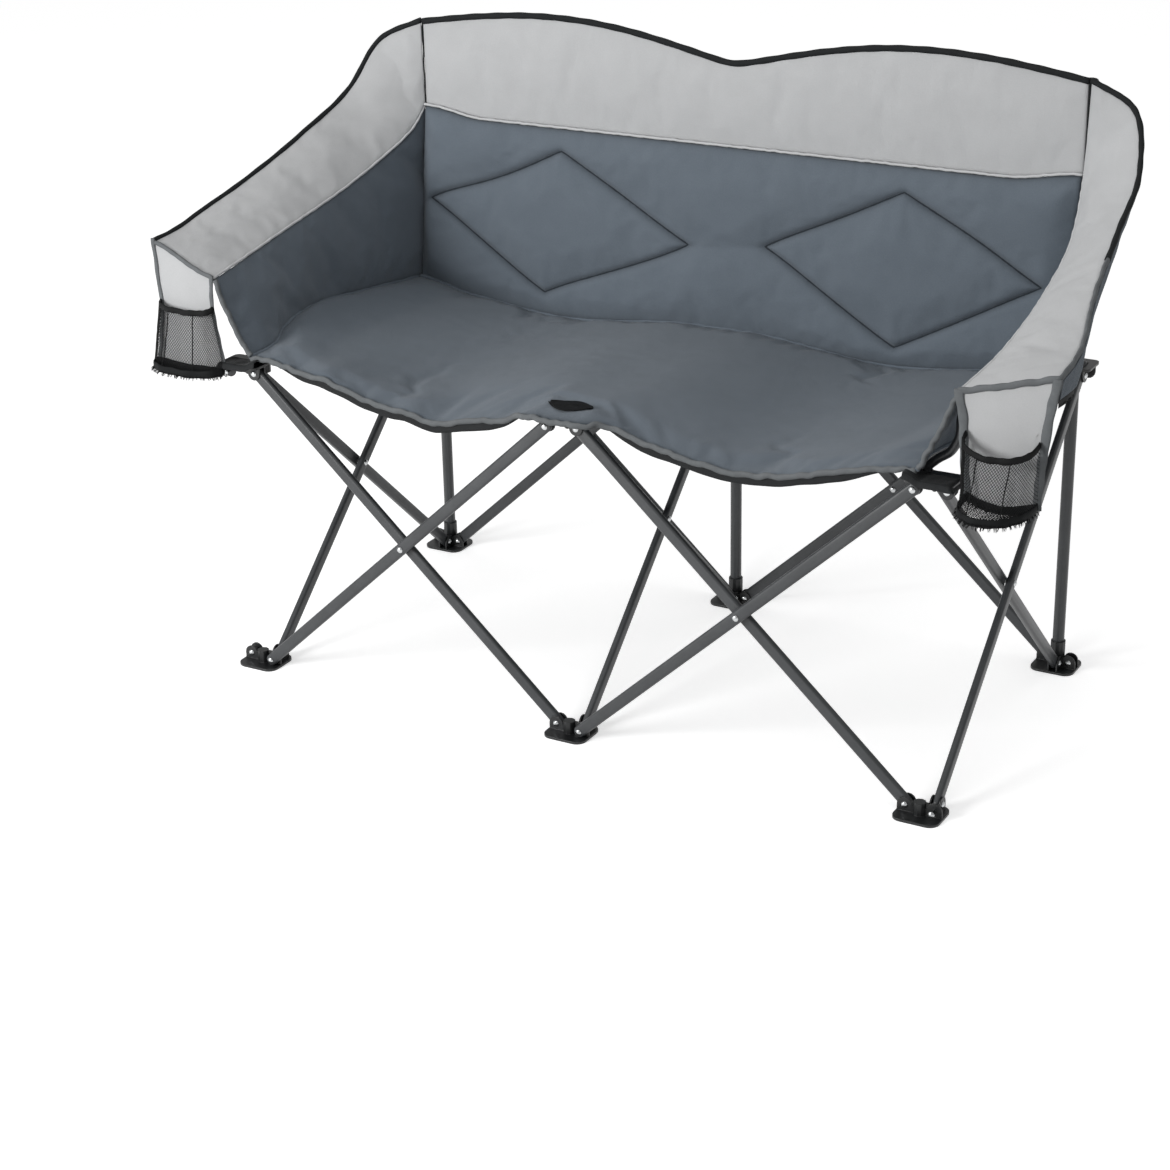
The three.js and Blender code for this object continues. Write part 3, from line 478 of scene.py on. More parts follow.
def mirrored(point, side, drawn=0.028):
    """A point of the right side, or of the left one, whose arm is drawn in at its front corner."""
    if side < 0:
        share = (1 - smooth(point.y, -0.24, 0.06)) * smooth(point.x, 0.62, 0.75)
        point = point + Vector((-drawn * share, 0, 0.3 * drawn * share))
    # Halfway back, the left arm's edge stands higher, and the right one's lies further in.
    halfway = smooth(point.y, -0.23, -0.10) * (1 - smooth(point.y, 0.12, 0.26))
    outer = halfway * smooth(point.x, 0.62, 0.71)
    point = point + (Vector((-0.0045 * outer, 0, 0)) if side > 0 else Vector((0, 0, 0.008 * outer)))
    return Vector((point.x * side, point.y, point.z))


# Seams of the right side, in millimetres: the seat's side and the arm top's inner seam, as in the
# part, and the arm top's outer edge and the foot of the outer panel, which hang further in here
seat_edge = seam([
    (560, -2, 531), (557, 57, 536), (580, 114, 543.6), (600, 228, 548), (596, 371, 534.8),
    (585.9, 528, 520.4), (583.5, 563.5, 520.4)])
inner_seam = seam([
    (617, -8, 653), (623.7, 108.4, 666.2), (623.7, 205.4, 682), (617, 330.9, 705.8),
    (607, 445, 737.5), (590.2, 530.6, 777.1), (583.5, 563.5, 812)])
outer_edge = seam([
    (757, -8, 691), (749.9, 102.7, 701.6), (721.6, 239.6, 738.5), (703.9, 376.5, 786),
    (689, 494, 845), (659, 549, 920), (585.5, 566, 955)])
hem_line = seam([
    (749.9, 8.6, 646), (743, 100, 634), (672, 285, 588), (616, 440, 556), (597, 570.5, 525.8)])


def outer_skin(share):
    along = outer_edge(share + 0.01) - outer_edge(share - 0.01)
    out = Vector((along.y, -along.x, 0)).normalized()
    return outer_edge(share) + out * 0.0027


def between(low, high, low_gap, high_gap, bulge=0.0):
    """A sheet between two seams; bulge pushes its front edge outwards at half height."""

    def place(u, v):
        foot, head = low(u), high(u)
        length = (head - foot).length
        point = foot.lerp(head, mix(low_gap / length, 1 - high_gap / length, v))
        point.x += bulge * math.sin(math.pi * v) * (1 - smooth(u, 0, 0.3))
        return point

    return place


def seam_lines(place, count=40):
    """The lengths of a sheet along and across, in metres."""
    def run(points):
        return sum((q - p).length for p, q in zip(points, points[1:]))
    wide = [run([place(i / count, v) for i in range(count + 1)]) for v in (0, 0.5, 1)]
    tall = [run([place(u, i / count) for i in range(count + 1)]) for u in (0, 0.25, 0.5, 0.75, 1)]
    return max(wide), max(tall)


def on_rim(u, v):
    return min(u, 1 - u, v, 1 - v) < 0.001


def throughout(u, v):
    return True


def two_sheets(outside, inside, columns, rows, flat, sewn=on_rim):
    """A front and a rear sheet, joined round their rims. The rear one is held all over."""
    bm = bmesh.new()
    rims = lay(bm, outside, columns, rows, flat, sewn)[1]
    rims += lay(bm, inside, columns, rows, flat, throughout)[1]
    bmesh.ops.bridge_loops(bm, edges=rims)
    return bm


def thin_sheet(name, place, columns, rows, flat, thickness, material):
    bm = bmesh.new()
    lay(bm, place, columns, rows, flat)
    bmesh.ops.solidify(bm, geom=bm.faces[:], thickness=thickness)
    return piece(name, bm, material)


def sewn_pad(name, place, hint, columns, rows, thick, material, pressure, growth, cap,
             edge=0.0024, seeds=0.0007):
    """A thin filled panel: crowned outside, even inside, gathered a little along its seams."""
    flat = seam_lines(place)

    def outside(u, v):
        point = place(u, v)
        seed = noise.noise(point * 55) * seeds * min(1, 6 * crown(u, v))
        rise = edge / 2 + (thick - edge) * crown(u, v) * 0.75 + seed
        return point + facing(place, u, v, hint) * rise

    def inside(u, v):
        return place(u, v) - facing(place, u, v, hint) * (edge / 2)

    made = piece(name, two_sheets(outside, inside, columns, rows, flat), material)
    fill(made, pressure, growth, cap)
    return rounded(made)


def tape(name, path, tall, wide, material, wave=0.0, pitch=0.022, up=AXIS_Z, sides=10, loop=False):
    """Binding or piping along a seam, a little gathered: it strays by the wave once in a pitch."""
    points = []
    for point in path:
        place = point / pitch
        stray = Vector((noise.noise(place), 0, noise.noise(place + Vector((5, 3, 1)))))
        points.append(point + stray * wave)

    def radii(share):
        along = share * len(path)
        return (tall * (1 + 0.06 * math.sin(along * 0.9)),
                wide * (1 + 0.08 * math.sin(along * 0.7 + 1)))

    return sweep(name, points, radii, sides, material, loop, up)


# Frame: flat-sided tubes, round uprights and bent arm posts


def flat_tube(node, start, end, flat, tail, body):
    """A tube with flat sides and rounded ends, from rivet to rivet."""
    along = end - start
    reach = along.length
    bm = bmesh.new()
    bmesh.ops.create_cube(bm, size=1)
    half = TUBE_WIDE / 2
    bmesh.ops.scale(bm, verts=bm.verts, vec=(reach + half + tail, TUBE_WIDE, TUBE_THICK))
    bmesh.ops.translate(bm, verts=bm.verts, vec=((reach + tail - half) / 2, 0, 0))
    upright = [e for e in bm.edges if abs((e.verts[0].co - e.verts[1].co).z) > TUBE_THICK / 2]
    soften(bm, upright, 0.0092, 6)
    rims = [e for e in sharp_rims(bm) if abs((e.verts[0].co - e.verts[1].co).z) < 1e-5]
    soften(bm, rims, 0.0042, 5)
    forward = along.normalized()
    side = flat.cross(forward)
    turn = Matrix((forward, side, flat)).transposed().to_4x4()
    bmesh.ops.transform(bm, verts=bm.verts, matrix=Matrix.Translation(start) @ turn)
    made = piece(f"{node}_formed", bm, steel)
    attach(made, body)
    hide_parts(node)


for row, y in (("front", ROW_FRONT), ("rear", ROW_REAR)):
    for bay, x in (("left", -FOOT_PITCH), ("right", 0)):
        near, far = x + RIVET_OFFSET, x + FOOT_PITCH - RIVET_OFFSET
        for lean, foot, head, layer in (("rising", near, far, -TUBE_LAYER),
                                        ("falling", far, near, TUBE_LAYER)):
            flat_tube(f"tube_{row}_{bay}_{lean}", Vector((foot, y + layer, RIVET_FOOT)),
                      Vector((head, y + layer, RIVET_HUB)), AXIS_Y, TUBE_WIDE / 2,
                      f"{row}_{bay}_{lean}")
for column, x in COLUMNS.items():
    near, far = ROW_FRONT + RIVET_OFFSET, ROW_REAR - RIVET_OFFSET
    flat_tube(f"tube_side_{column}_rising", Vector((x + FRONT_SLOT, near, RIVET_FOOT)),
              Vector((x + FRONT_SLOT, far, RIVET_HUB)), AXIS_X, TAIL_REACH,
              f"side_{column}_rising")
    flat_tube(f"tube_side_{column}_falling", Vector((x + REAR_SLOT, far, RIVET_FOOT)),
              Vector((x + REAR_SLOT, near, RIVET_HUB)), AXIS_X, TUBE_WIDE / 2,
              f"side_{column}_falling")

UPRIGHT_TOPS = {"left": 0.952, "center": 0.918, "right": 0.952}

for column, x in COLUMNS.items():
    foot, head = 0.0083, UPRIGHT_TOPS[column]
    bm = bmesh.new()
    bmesh.ops.create_cone(bm, cap_ends=True, cap_tris=False, segments=40, radius1=UPRIGHT_RADIUS,
                          radius2=UPRIGHT_RADIUS, depth=head - foot)
    soften(bm, sharp_rims(bm), 0.0008, 2)
    bmesh.ops.translate(bm, verts=bm.verts, vec=(x, ROW_REAR, (head + foot) / 2))
    made = piece(f"upright_{column}_drawn", bm, steel)
    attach(made, f"rear_{column}_foot")
    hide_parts(f"upright_{column}")

post_line = seam([
    (560, 33, 500.6), (560, 33, 511.5), (560, 33, 521.3), (574.8, 33, 536.9),
    (594.2, 33, 551.8), (605.6, 33, 576), (609, 29.7, 607.1), (630, 16.5, 643.8),
    (666.2, 9.9, 656.9), (708.3, 3.3, 668.3), (750.5, 0, 679.8)])

for name, side in SIDES.items():
    made = sweep(f"arm_post_{name}_bent", [mirrored(p, side) for p in spaced(post_line, 90)],
                 lambda share: (POST_RADIUS, POST_RADIUS), 20, steel, up=AXIS_Y)
    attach(made, f"arm_post_{name}")
    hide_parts(f"arm_post_{name}")


def turned_to(out, place):
    """Turns the Z axis to a direction, and moves the origin to a place."""
    return Matrix.Translation(place) @ AXIS_Z.rotation_difference(out).to_matrix().to_4x4()


def dome(bm, base, out):
    """A rivet's domed head, spun from half its outline."""
    outline = [(0, 0.0030), (0.0018, 0.0028), (0.0034, 0.0022), (0.0046, 0.0013), (0.0052, 0.0006),
               (0.0053, 0.0), (0, -0.0005)]
    before = set(bm.verts)
    verts = [bm.verts.new((x, 0, z)) for x, z in outline]
    edges = [bm.edges.new(pair) for pair in zip(verts, verts[1:])]
    bmesh.ops.spin(bm, geom=verts + edges, cent=(0, 0, 0), axis=(0, 0, 1), dvec=(0, 0, 0),
                   angle=math.tau, steps=18, use_merge=True, use_normal_flip=False,
                   use_duplicate=False)
    head = [vert for vert in bm.verts if vert not in before]
    bmesh.ops.transform(bm, verts=head, matrix=turned_to(out, base))
    bmesh.ops.remove_doubles(bm, verts=head, dist=1e-6)


def lug_rivets(name, body, place, turned, outer, slot):
    """Bright heads over the rivets of a foot or a hub, across its row and across its column."""
    turn = Matrix.Rotation(math.pi if turned else 0, 3, "Z")
    bm = bmesh.new()
    heads = [((outer, -LAYER_FACE, 0), (0, -1, 0)), ((-outer, -LUG_WALL / 2, 0), (0, -1, 0)),
             ((-outer, LAYER_FACE + LUG_WALL, 0), (0, 1, 0))]
    reach = TUBE_THICK / 2 + 0.0003 + LUG_WALL
    heads += [((slot + s * reach, RIVET_OFFSET, 0), (s, 0, 0)) for s in (-1, 1)]
    for base, out in heads:
        dome(bm, place + turn @ Vector(base), turn @ Vector(out))
    made = piece(f"rivet_heads_{name}", bm, zinc)
    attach(made, body)


for column, x in COLUMNS.items():
    for kind, row, y, z, outer, slot in (
            ("foot", "front", ROW_FRONT, RIVET_FOOT, RIVET_OFFSET, FRONT_SLOT),
            ("foot", "rear", ROW_REAR, RIVET_FOOT, RIVET_OFFSET, -REAR_SLOT),
            ("hub", "front", ROW_FRONT, RIVET_HUB, -RIVET_OFFSET, REAR_SLOT),
            ("hub", "rear", ROW_REAR, RIVET_HUB, -RIVET_OFFSET, -FRONT_SLOT)):
        lug_rivets(f"{kind}_{row}_{column}", f"{row}_{column}_{kind}", Vector((x, y, z)),
                   row == "rear", outer, slot)

# Which tube carries the rivet of each crossing
CROSSINGS = [(f"{row}_{bay}", f"{row}_{bay}_{lean}", Vector((x, y, CROSSING)), AXIS_Y)
             for row, y in (("rear", ROW_REAR), ("front", ROW_FRONT))
             for bay, lean, x in (("right", "rising", FOOT_PITCH / 2),
                                  ("left", "falling", -FOOT_PITCH / 2))]
CROSSINGS += [(f"side_{column}", f"side_{column}_{'falling' if column == 'center' else 'rising'}",
               Vector((x + (FRONT_SLOT + REAR_SLOT) / 2, (ROW_FRONT + ROW_REAR) / 2, CROSSING)),
               AXIS_X) for column, x in COLUMNS.items()]
for name, body, place, across in CROSSINGS:
    bm = bmesh.new()
    for out in (-1, 1):
        dome(bm, place + across * (out * LAYER_FACE), across * out)
    made = piece(f"rivet_heads_{name}", bm, zinc)
    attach(made, body)

for name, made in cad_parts.items():
    for starts, finish in ((("foot", "hub"), nylon), ("rivet", zinc)):
        if name.startswith(starts):
            made.data.materials.clear()
            made.data.materials.append(finish)


# Back


def fold_across(made, body):
    """Ride a body, with a mesh of its own."""
    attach(made, body)
    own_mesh(made)


def column_height(x, depth):
    base = SEAT_FRONT + (SEAT_REAR - SEAT_FRONT) * depth / SEAT_REACH
    sag = mix(0.043, 0.020, depth / SEAT_REACH)
    along = min(max((abs(x) - SEAT_FLAT) / SEAT_BAY, 0), 1)
    return base - sag * math.sin(math.pi * along) ** 2


def side_at(depth):
    """The point of the seat's side at a depth behind the front row."""
    low, high = 0.0, 1.0
    for _ in range(22):
        half = (low + high) / 2
        if seat_edge(half).y - ROW_FRONT < depth:
            low = half
        else:
            high = half
    return seat_edge(low)


side_points = [side_at(SEAT_REACH * i / 80) for i in range(81)]


def seat_side(depth):
    along = min(max(depth / SEAT_REACH, 0), 1) * 80
    first = min(int(along), 79)
    return side_points[first].lerp(side_points[first + 1], along - first)


# How the front edge hangs: places across the seat, and the rise or drop there, in millimetres
FRONT_HANG = ((-600, 0), (-480, 4), (-420, 12), (-350, 8), (-285, 4), (-214, -14), (-107, -18),
              (-36, 0), (36, 0), (129, -9), (227, -3), (322, 0), (600, 0))


def front_hang(x):
    for (low, drop), (high, next_drop) in zip(FRONT_HANG, FRONT_HANG[1:]):
        if x * 1000 <= high:
            return mix(drop, next_drop, smooth(x * 1000, low, high)) / 1000
    return 0.0


def seat_top(x, depth):
    edge = seat_side(depth)
    share = (abs(x) - SEAT_FLAT) / (edge.x - SEAT_FLAT)
    lift = (edge.z - column_height(edge.x, depth)) * smooth(share, 0.8, 1)
    return column_height(x, depth) + lift + front_hang(x) * (1 - smooth(depth, 0, 0.16))


DIAMOND_X, DIAMOND_Z, DIAMOND_WIDE, DIAMOND_HIGH = 0.308, 0.642, 0.240, 0.121
half_columns = [0.068 * i / 7 for i in range(7)] + [0.068 + 0.01 * i for i in range(48)] + [
    0.548 + 0.0085 * i for i in range(5)]
back_columns = [-x for x in reversed(half_columns[1:])] + half_columns
# The quilting is a little out of true: each corner's place, and how far it is off, in millimetres
QUILT_DRIFT = (
    ((-548, 642), (-11, 19)), ((-68, 642), (2, -8)), ((-308, 521), (-23, 5)),
    ((68, 642), (3, 9)), ((308, 763), (-5, -3)), ((548, 642), (-12, -2)), ((308, 521), (-4, -4)))


def top_seam(x):
    """The height of the seam between the quilted pad and the band, which rises to the corners."""
    return mix(BACK_SEAM, BACK_CORNER_SEAM, smooth(abs(x), 0.8 * FOOT_PITCH, FOOT_PITCH))


def back_foot(x):
    return seat_top(x, SEAT_REACH - 0.0065) + 0.0011


def back_plane(z):
    """How far back the rear face of the back lies, which leans forward to its foot."""
    foot = DIAMOND_Z - DIAMOND_HIGH
    return ROW_FRONT + BACK_PLANE - BACK_LEAN * (BACK_SEAM - z) / (BACK_SEAM - foot)


def back_grid(u, v):
    """The place of a point of the back before it drifts, as x and z."""
    x = back_columns[round(u * (len(back_columns) - 1))]
    row = round(v * 58)
    low, high = DIAMOND_Z - DIAMOND_HIGH, DIAMOND_Z + DIAMOND_HIGH
    if row < 4:
        z = mix(back_foot(x), low, row / 4)
    elif row > 52:
        z = mix(high, top_seam(x), (row - 52) / 6)
    else:
        z = mix(low, high, (row - 4) / 48)
    return x, z


def off_stitch(x, z):
    """How far a point lies from the diamonds' stitching, in metres."""
    ring = abs(abs(abs(x) - DIAMOND_X) / DIAMOND_WIDE + abs(z - DIAMOND_Z) / DIAMOND_HIGH - 1)
    return ring / math.hypot(1 / DIAMOND_WIDE, 1 / DIAMOND_HIGH)


def back_inset(x, z):
    return min(BACK_HALF - abs(x), z - back_foot(x), top_seam(x) - z)


def drifted(x, z):
    hold = smooth(back_inset(x, z), 0, 0.035)
    moved = Vector((x, z))
    for (at_x, at_z), (off_x, off_z) in QUILT_DRIFT:
        apart = math.hypot(x - at_x / 1000, z - at_z / 1000)
        share = hold * math.exp(-(apart / 0.11) ** 2)
        moved += Vector((off_x, off_z)) * (share / 1000)
    return moved


def back_front(u, v):
    x, z = back_grid(u, v)
    inner = mix(0.015, 0.027, 1 - math.exp(-off_stitch(x, z) / 0.0075))
    thick = mix(0.012, inner, smooth(back_inset(x, z), 0, 0.036))
    seed = noise.noise(Vector((x, z, 0)) * 60) * 0.0004
    moved = drifted(x, z)
    return Vector((moved.x, back_plane(z) - thick - seed, moved.y))


def back_rear(u, v):
    x, z = back_grid(u, v)
    moved = drifted(x, z)
    return Vector((moved.x, back_plane(z), moved.y))


def back_sewn(u, v):
    x, z = back_grid(u, v)
    return on_rim(u, v) or off_stitch(x, z) < 0.0004


BACK_FLAT = (1.164, 0.31)
bm = bmesh.new()
front_verts = lay(bm, back_front, 118, 58, BACK_FLAT, back_sewn,
                  lambda u, v: off_stitch(*back_grid(u, v)))[0]
held = bm.verts.layers.deform.verify()
crease = bm.edges.layers.float.new("crease_edge")
stitched = [v for v in front_verts if v[held][0] > 0.5 and not v.is_boundary]
bmesh.ops.connect_verts(bm, verts=stitched)
for vert in stitched:
    for edge in vert.link_edges:
        if edge.other_vert(vert)[held][0] > 0.5:
            edge[crease] = 0.8
lay(bm, back_rear, 118, 58, BACK_FLAT, throughout)
bmesh.ops.bridge_loops(bm, edges=[edge for edge in bm.edges if edge.is_boundary])
back_pad = piece("back_quilted", bm, slate)
fill(back_pad, 1.3, 0.006, 0.006)
rounded(back_pad)
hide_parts("back_pad")


def top_edge(x):
    away = math.hypot(x, 0.022)
    if away < 0.33:
        return mix(0.927, 0.980, math.sin(math.pi / 2 * away / 0.33))
    return mix(0.955, 0.980, math.cos(math.pi / 2 * (away - 0.33) / (BACK_HALF - 0.33)))


def band_middle(u, v):
    x = mix(-BACK_HALF, BACK_HALF, u)
    low = top_seam(x) + 0.0005
    return Vector((x, ROW_FRONT + BACK_PLANE, mix(low, top_edge(x) - 0.002, v)))


def band_front(u, v):
    point = band_middle(u, v)
    seed = noise.noise(point * 25) * 0.0006
    point.y -= mix(0.004, 0.010, crown(u, v)) + seed
    return point


back_band = piece("back_top_panel", two_sheets(band_front, band_middle, 140, 18, (1.17, 0.16)),
                  silver)
fill(back_band, 0.5, 0.002, 0.003)
rounded(back_band)
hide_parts("back_band")


def across_back(depth, height, lift, count=260):
    """Points across the back, at a depth behind the front row and a lift over a height."""
    return spaced(lambda x: Vector((x, ROW_FRONT + depth, height(x) + lift)), count, -BACK_HALF,
                  BACK_HALF)


back_edge = tape("back_edge_binding", across_back(BACK_PLANE - 0.0025, top_edge, -0.002, 180),
                 0.0054, 0.0046, binding, 0.0003, 0.05)
# The band is turned over and topstitched along its seam with the quilted pad.
seam_fold = tape("back_seam_fold", across_back(BACK_PLANE - 0.0085, top_seam, 0.0022),
                 0.0021, 0.0024, silver, 0.0011, 0.010)
# The foot of the back is sewn to the rear of the seat.
foot_seam = tape("back_foot_seam", across_back(0.5225, back_foot, 0.0005), 0.0034, 0.0034, slate,
                 0.0008, 0.014)
corner_seams = []
for name, side in SIDES.items():
    points = [Vector((side * CORNER_X, ROW_FRONT + mix(0.533, 0.5655, smooth(z, 0.52, 0.8)), z))
              for z in [mix(0.522, 0.955, i / 60) for i in range(61)]]
    corner_seams.append(tape(f"corner_seam_{name}", points, 0.0013, 0.0013, binding, 0.0008,
                             up=AXIS_Y, sides=8))


def thread_radii(share):
    """The quilting thread is drawn in between one stitch and the next."""
    half = 0.0013 + 0.0005 * abs(math.sin(share * 120))
    return half, half


# The quilting thread lies this far in front of the back's rear face
THREAD_OUT = 0.0157
quilting = []
for name, side in SIDES.items():
    corners = [(DIAMOND_WIDE, 0), (0, DIAMOND_HIGH), (-DIAMOND_WIDE, 0), (0, -DIAMOND_HIGH)]
    points = []
    for (x, z), (next_x, next_z) in zip(corners, corners[1:] + corners[:1]):
        for i in range(96):
            height = DIAMOND_Z + mix(z, next_z, i / 96)
            at = drifted(side * DIAMOND_X + mix(x, next_x, i / 96), height)
            points.append(Vector((at.x, back_plane(height) - THREAD_OUT, at.y)))
    quilting.append(sweep(f"quilting_thread_{name}", points, thread_radii, 6, thread, True, AXIS_Y))
for made in (back_pad, back_band, back_edge, seam_fold, foot_seam, *corner_seams, *quilting):
    fold_across(made, "rear_center_foot")

for column, x in COLUMNS.items():
    head = UPRIGHT_TOPS[column]
    bm = bmesh.new()
    bmesh.ops.create_cone(bm, cap_ends=True, cap_tris=False, segments=36, radius1=0.0113,
                          radius2=0.0113, depth=0.062)
    soften(bm, [e for e in sharp_rims(bm) if e.verts[0].co.z > 0], 0.004, 4)
    bmesh.ops.translate(bm, verts=bm.verts, vec=(x, ROW_REAR, head + 0.0019 - 0.031))
    for out in (-1, 1):
        if out * x > 0.1:
            continue
        flap = bmesh.ops.create_cube(bm, size=1)["verts"]
        bmesh.ops.scale(bm, verts=flap, vec=(0.016, 0.0016, 0.060))
        bmesh.ops.translate(bm, verts=flap, vec=(x + out * 0.0175, ROW_REAR - 0.0108,
                                                 head - 0.0295))
    made = piece(f"upright_pocket_{column}", bm, webbing)
    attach(made, f"rear_{column}_foot")
    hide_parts(f"sleeve_{column}")


# Seat


def front_lip(x, depth):
    """How far the cloth reaches over the front of the middle hub."""
    return (1 - smooth(abs(x), 0.036, 0.085)) * (1 - smooth(depth, 0.0, 0.016))


def seat_middle(u, v):
    depth = v * SEAT_REACH
    x = (2 * u - 1) * seat_side(depth).x
    lip = front_lip(x, depth)
    over = (1 - smooth(abs(x), 0.038, 0.08)) * (1 - smooth(depth, 0.016, 0.07))
    return Vector((x, ROW_FRONT + depth - 0.026 * lip,
                   seat_top(x, depth) + 0.0030 * over - 0.0035 * lip))


def seat_upper(u, v):
    point = seat_middle(u, v)
    point.z += noise.noise(point * 45) * 0.0006 - 0.003 * (1 - smooth(v, 0, 0.02))
    return point


def seat_lower(u, v):
    point = seat_middle(u, v)
    depth = v * SEAT_REACH
    thick = mix(0.0048, SEAT_THICK, crown(u, v))
    if abs(point.x) < 0.042 and depth < 0.05:
        thick = min(thick, point.z - PLATE_TOP - 0.0003)
    point.z -= thick
    return point


def seat_sewn(u, v):
    point = seat_middle(u, v)
    return on_rim(u, v) or (abs(point.x) < 0.036 and point.y < ROW_FRONT + 0.048)


seat_whole = piece("seat_whole", two_sheets(
    seat_upper, seat_lower, 150, 66, (1.2, 0.53), seat_sewn), slate)
fill(seat_whole, 1.0, 0.012, 0.008)
rounded(seat_whole)


def fold_with_seat(made, front=True):
    fold_across(made, "side_center_falling" if front else "side_center_rising")


def seat_part(name, source, front):
    """The front or rear part of a piece of the seat, with the light running on over the join."""
    normals = [vert.normal.copy() for vert in source.data.vertices]
    bm = bmesh.new()
    bm.from_mesh(source.data)
    was = bm.verts.layers.int.new("was")
    for vert in bm.verts:
        vert[was] = vert.index
    gone = [f for f in bm.faces if (f.calc_center_median().y > SEAT_SPLIT) == front]
    bmesh.ops.delete(bm, geom=gone, context="FACES")
    kept = [vert[was] for vert in bm.verts]
    made = finished(name, bm, source.data.materials[0])
    made.data.normals_split_custom_set_from_vertices([normals[i] for i in kept])
    fold_with_seat(made, front)
    return made


for name, front in (("seat_front_half", True), ("seat_rear_half", False)):
    made = seat_part(name, seat_whole, front)
    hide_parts("seat_pad")
bpy.data.objects.remove(seat_whole)


def lining_place(u, v):
    """From the front edge down, under the pad and back to its rear edge."""
    depth = max(v - 0.06, 0) / 0.94 * SEAT_REACH
    x = (2 * u - 1) * (seat_side(depth).x - 0.004)
    bay = smooth(abs(x), 0.05, 0.13) * (1 - smooth(abs(x), 0.44, 0.535))
    down = mix(0.006, 0.0205, smooth(v, 0, 0.06))
    sag = mix(down * 0.35, down, bay)
    if v > 0.06:
        sag = max(mix(0.0055, 0.0205, bay * smooth(1 - v, 0, 0.08)), 0.0052)
    height = seat_top(x, depth) - sag + noise.noise(Vector((x, depth, 0)) * 30) * 0.002 * bay
    return Vector((x, ROW_FRONT + depth + 0.001, height))


bm = bmesh.new()
lay(bm, lining_place, 120, 60, (1.19, 0.55))
lining_whole = piece("seat_lining_whole", bm, lining)
for name, front in (("seat_lining_front", True), ("seat_lining_rear", False)):
    made = seat_part(name, lining_whole, front)
bpy.data.objects.remove(lining_whole)

front_points = []
for i in range(241):
    x = mix(-0.559, 0.559, i / 240)
    lip = front_lip(x, 0)
    frill = 0.0007 * math.sin(x * 330) * (lip + smooth(abs(x), 0.40, 0.54))
    front_points.append(Vector((x, ROW_FRONT - 0.0008 - 0.0270 * lip + frill,
                                seat_top(x, 0) - 0.0038 - 0.0022 * lip + frill)))
made = tape("seat_front_piping", front_points, 0.0046, 0.0034, piping, 0.0036, 0.017)
fold_with_seat(made)


def patch_place(u, v):
    """A patch with pointed ends, and a raised cross where it is stitched down."""
    x = mix(-0.036, 0.036, u)
    depth = 0.0270 + mix(-0.0285, 0.0285, v) * (1 - abs(2 * u - 1) ** 1.6 * 0.86)
    cross = math.exp(-(min(abs(u - v), abs(u + v - 1)) / 0.08) ** 2)
    over = 1 - smooth(depth, 0.016, 0.07)
    return Vector((x, ROW_FRONT + depth,
                   seat_top(x, depth) + 0.0016 + 0.0030 * over + 0.0018 * cross))


made = thin_sheet("seat_corner_patch", patch_place, 30, 20, (0.06, 0.04), 0.0012, webbing)
fold_with_seat(made)
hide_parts("seat_patch")


# Sewn corner pockets, which wrap the plates of the two outer hubs in front


def corner_pocket(name, side):
    y_near, y_far = ROW_FRONT - 0.0185, ROW_FRONT + 0.022

    def place(u, v):
        out = mix(0.543, 0.6195, u)
        along = mix(y_near, y_far, v)
        rim = smooth(u, 0.90, 1.0), 1 - smooth(v, 0, 0.07), smooth(v, 0.93, 1)
        drop = 0.0085 * max(rim)
        lift = 0.010 * (1 - smooth(u, 0, 0.35))
        wrinkle = noise.noise(Vector((out, along, side)) * 70) * 0.0012
        return Vector((side * out, along, PLATE_TOP + 0.0018 + lift - drop + wrinkle))

    made = thin_sheet(f"corner_pocket_front_{name}", place, 26, 20, (0.08, y_far - y_near), 0.0012,
                      lining)
    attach(made, f"front_{name}_hub")


for name, side in SIDES.items():
    corner_pocket(name, side)


# Arms


inner_place = between(seat_edge, inner_seam, 0.0008, 0.0024, bulge=0.003)
band_place = between(inner_seam, outer_edge, 0.0004, 0.0024)
outer_place = between(hem_line, outer_skin, 0.0120, 0.0036)


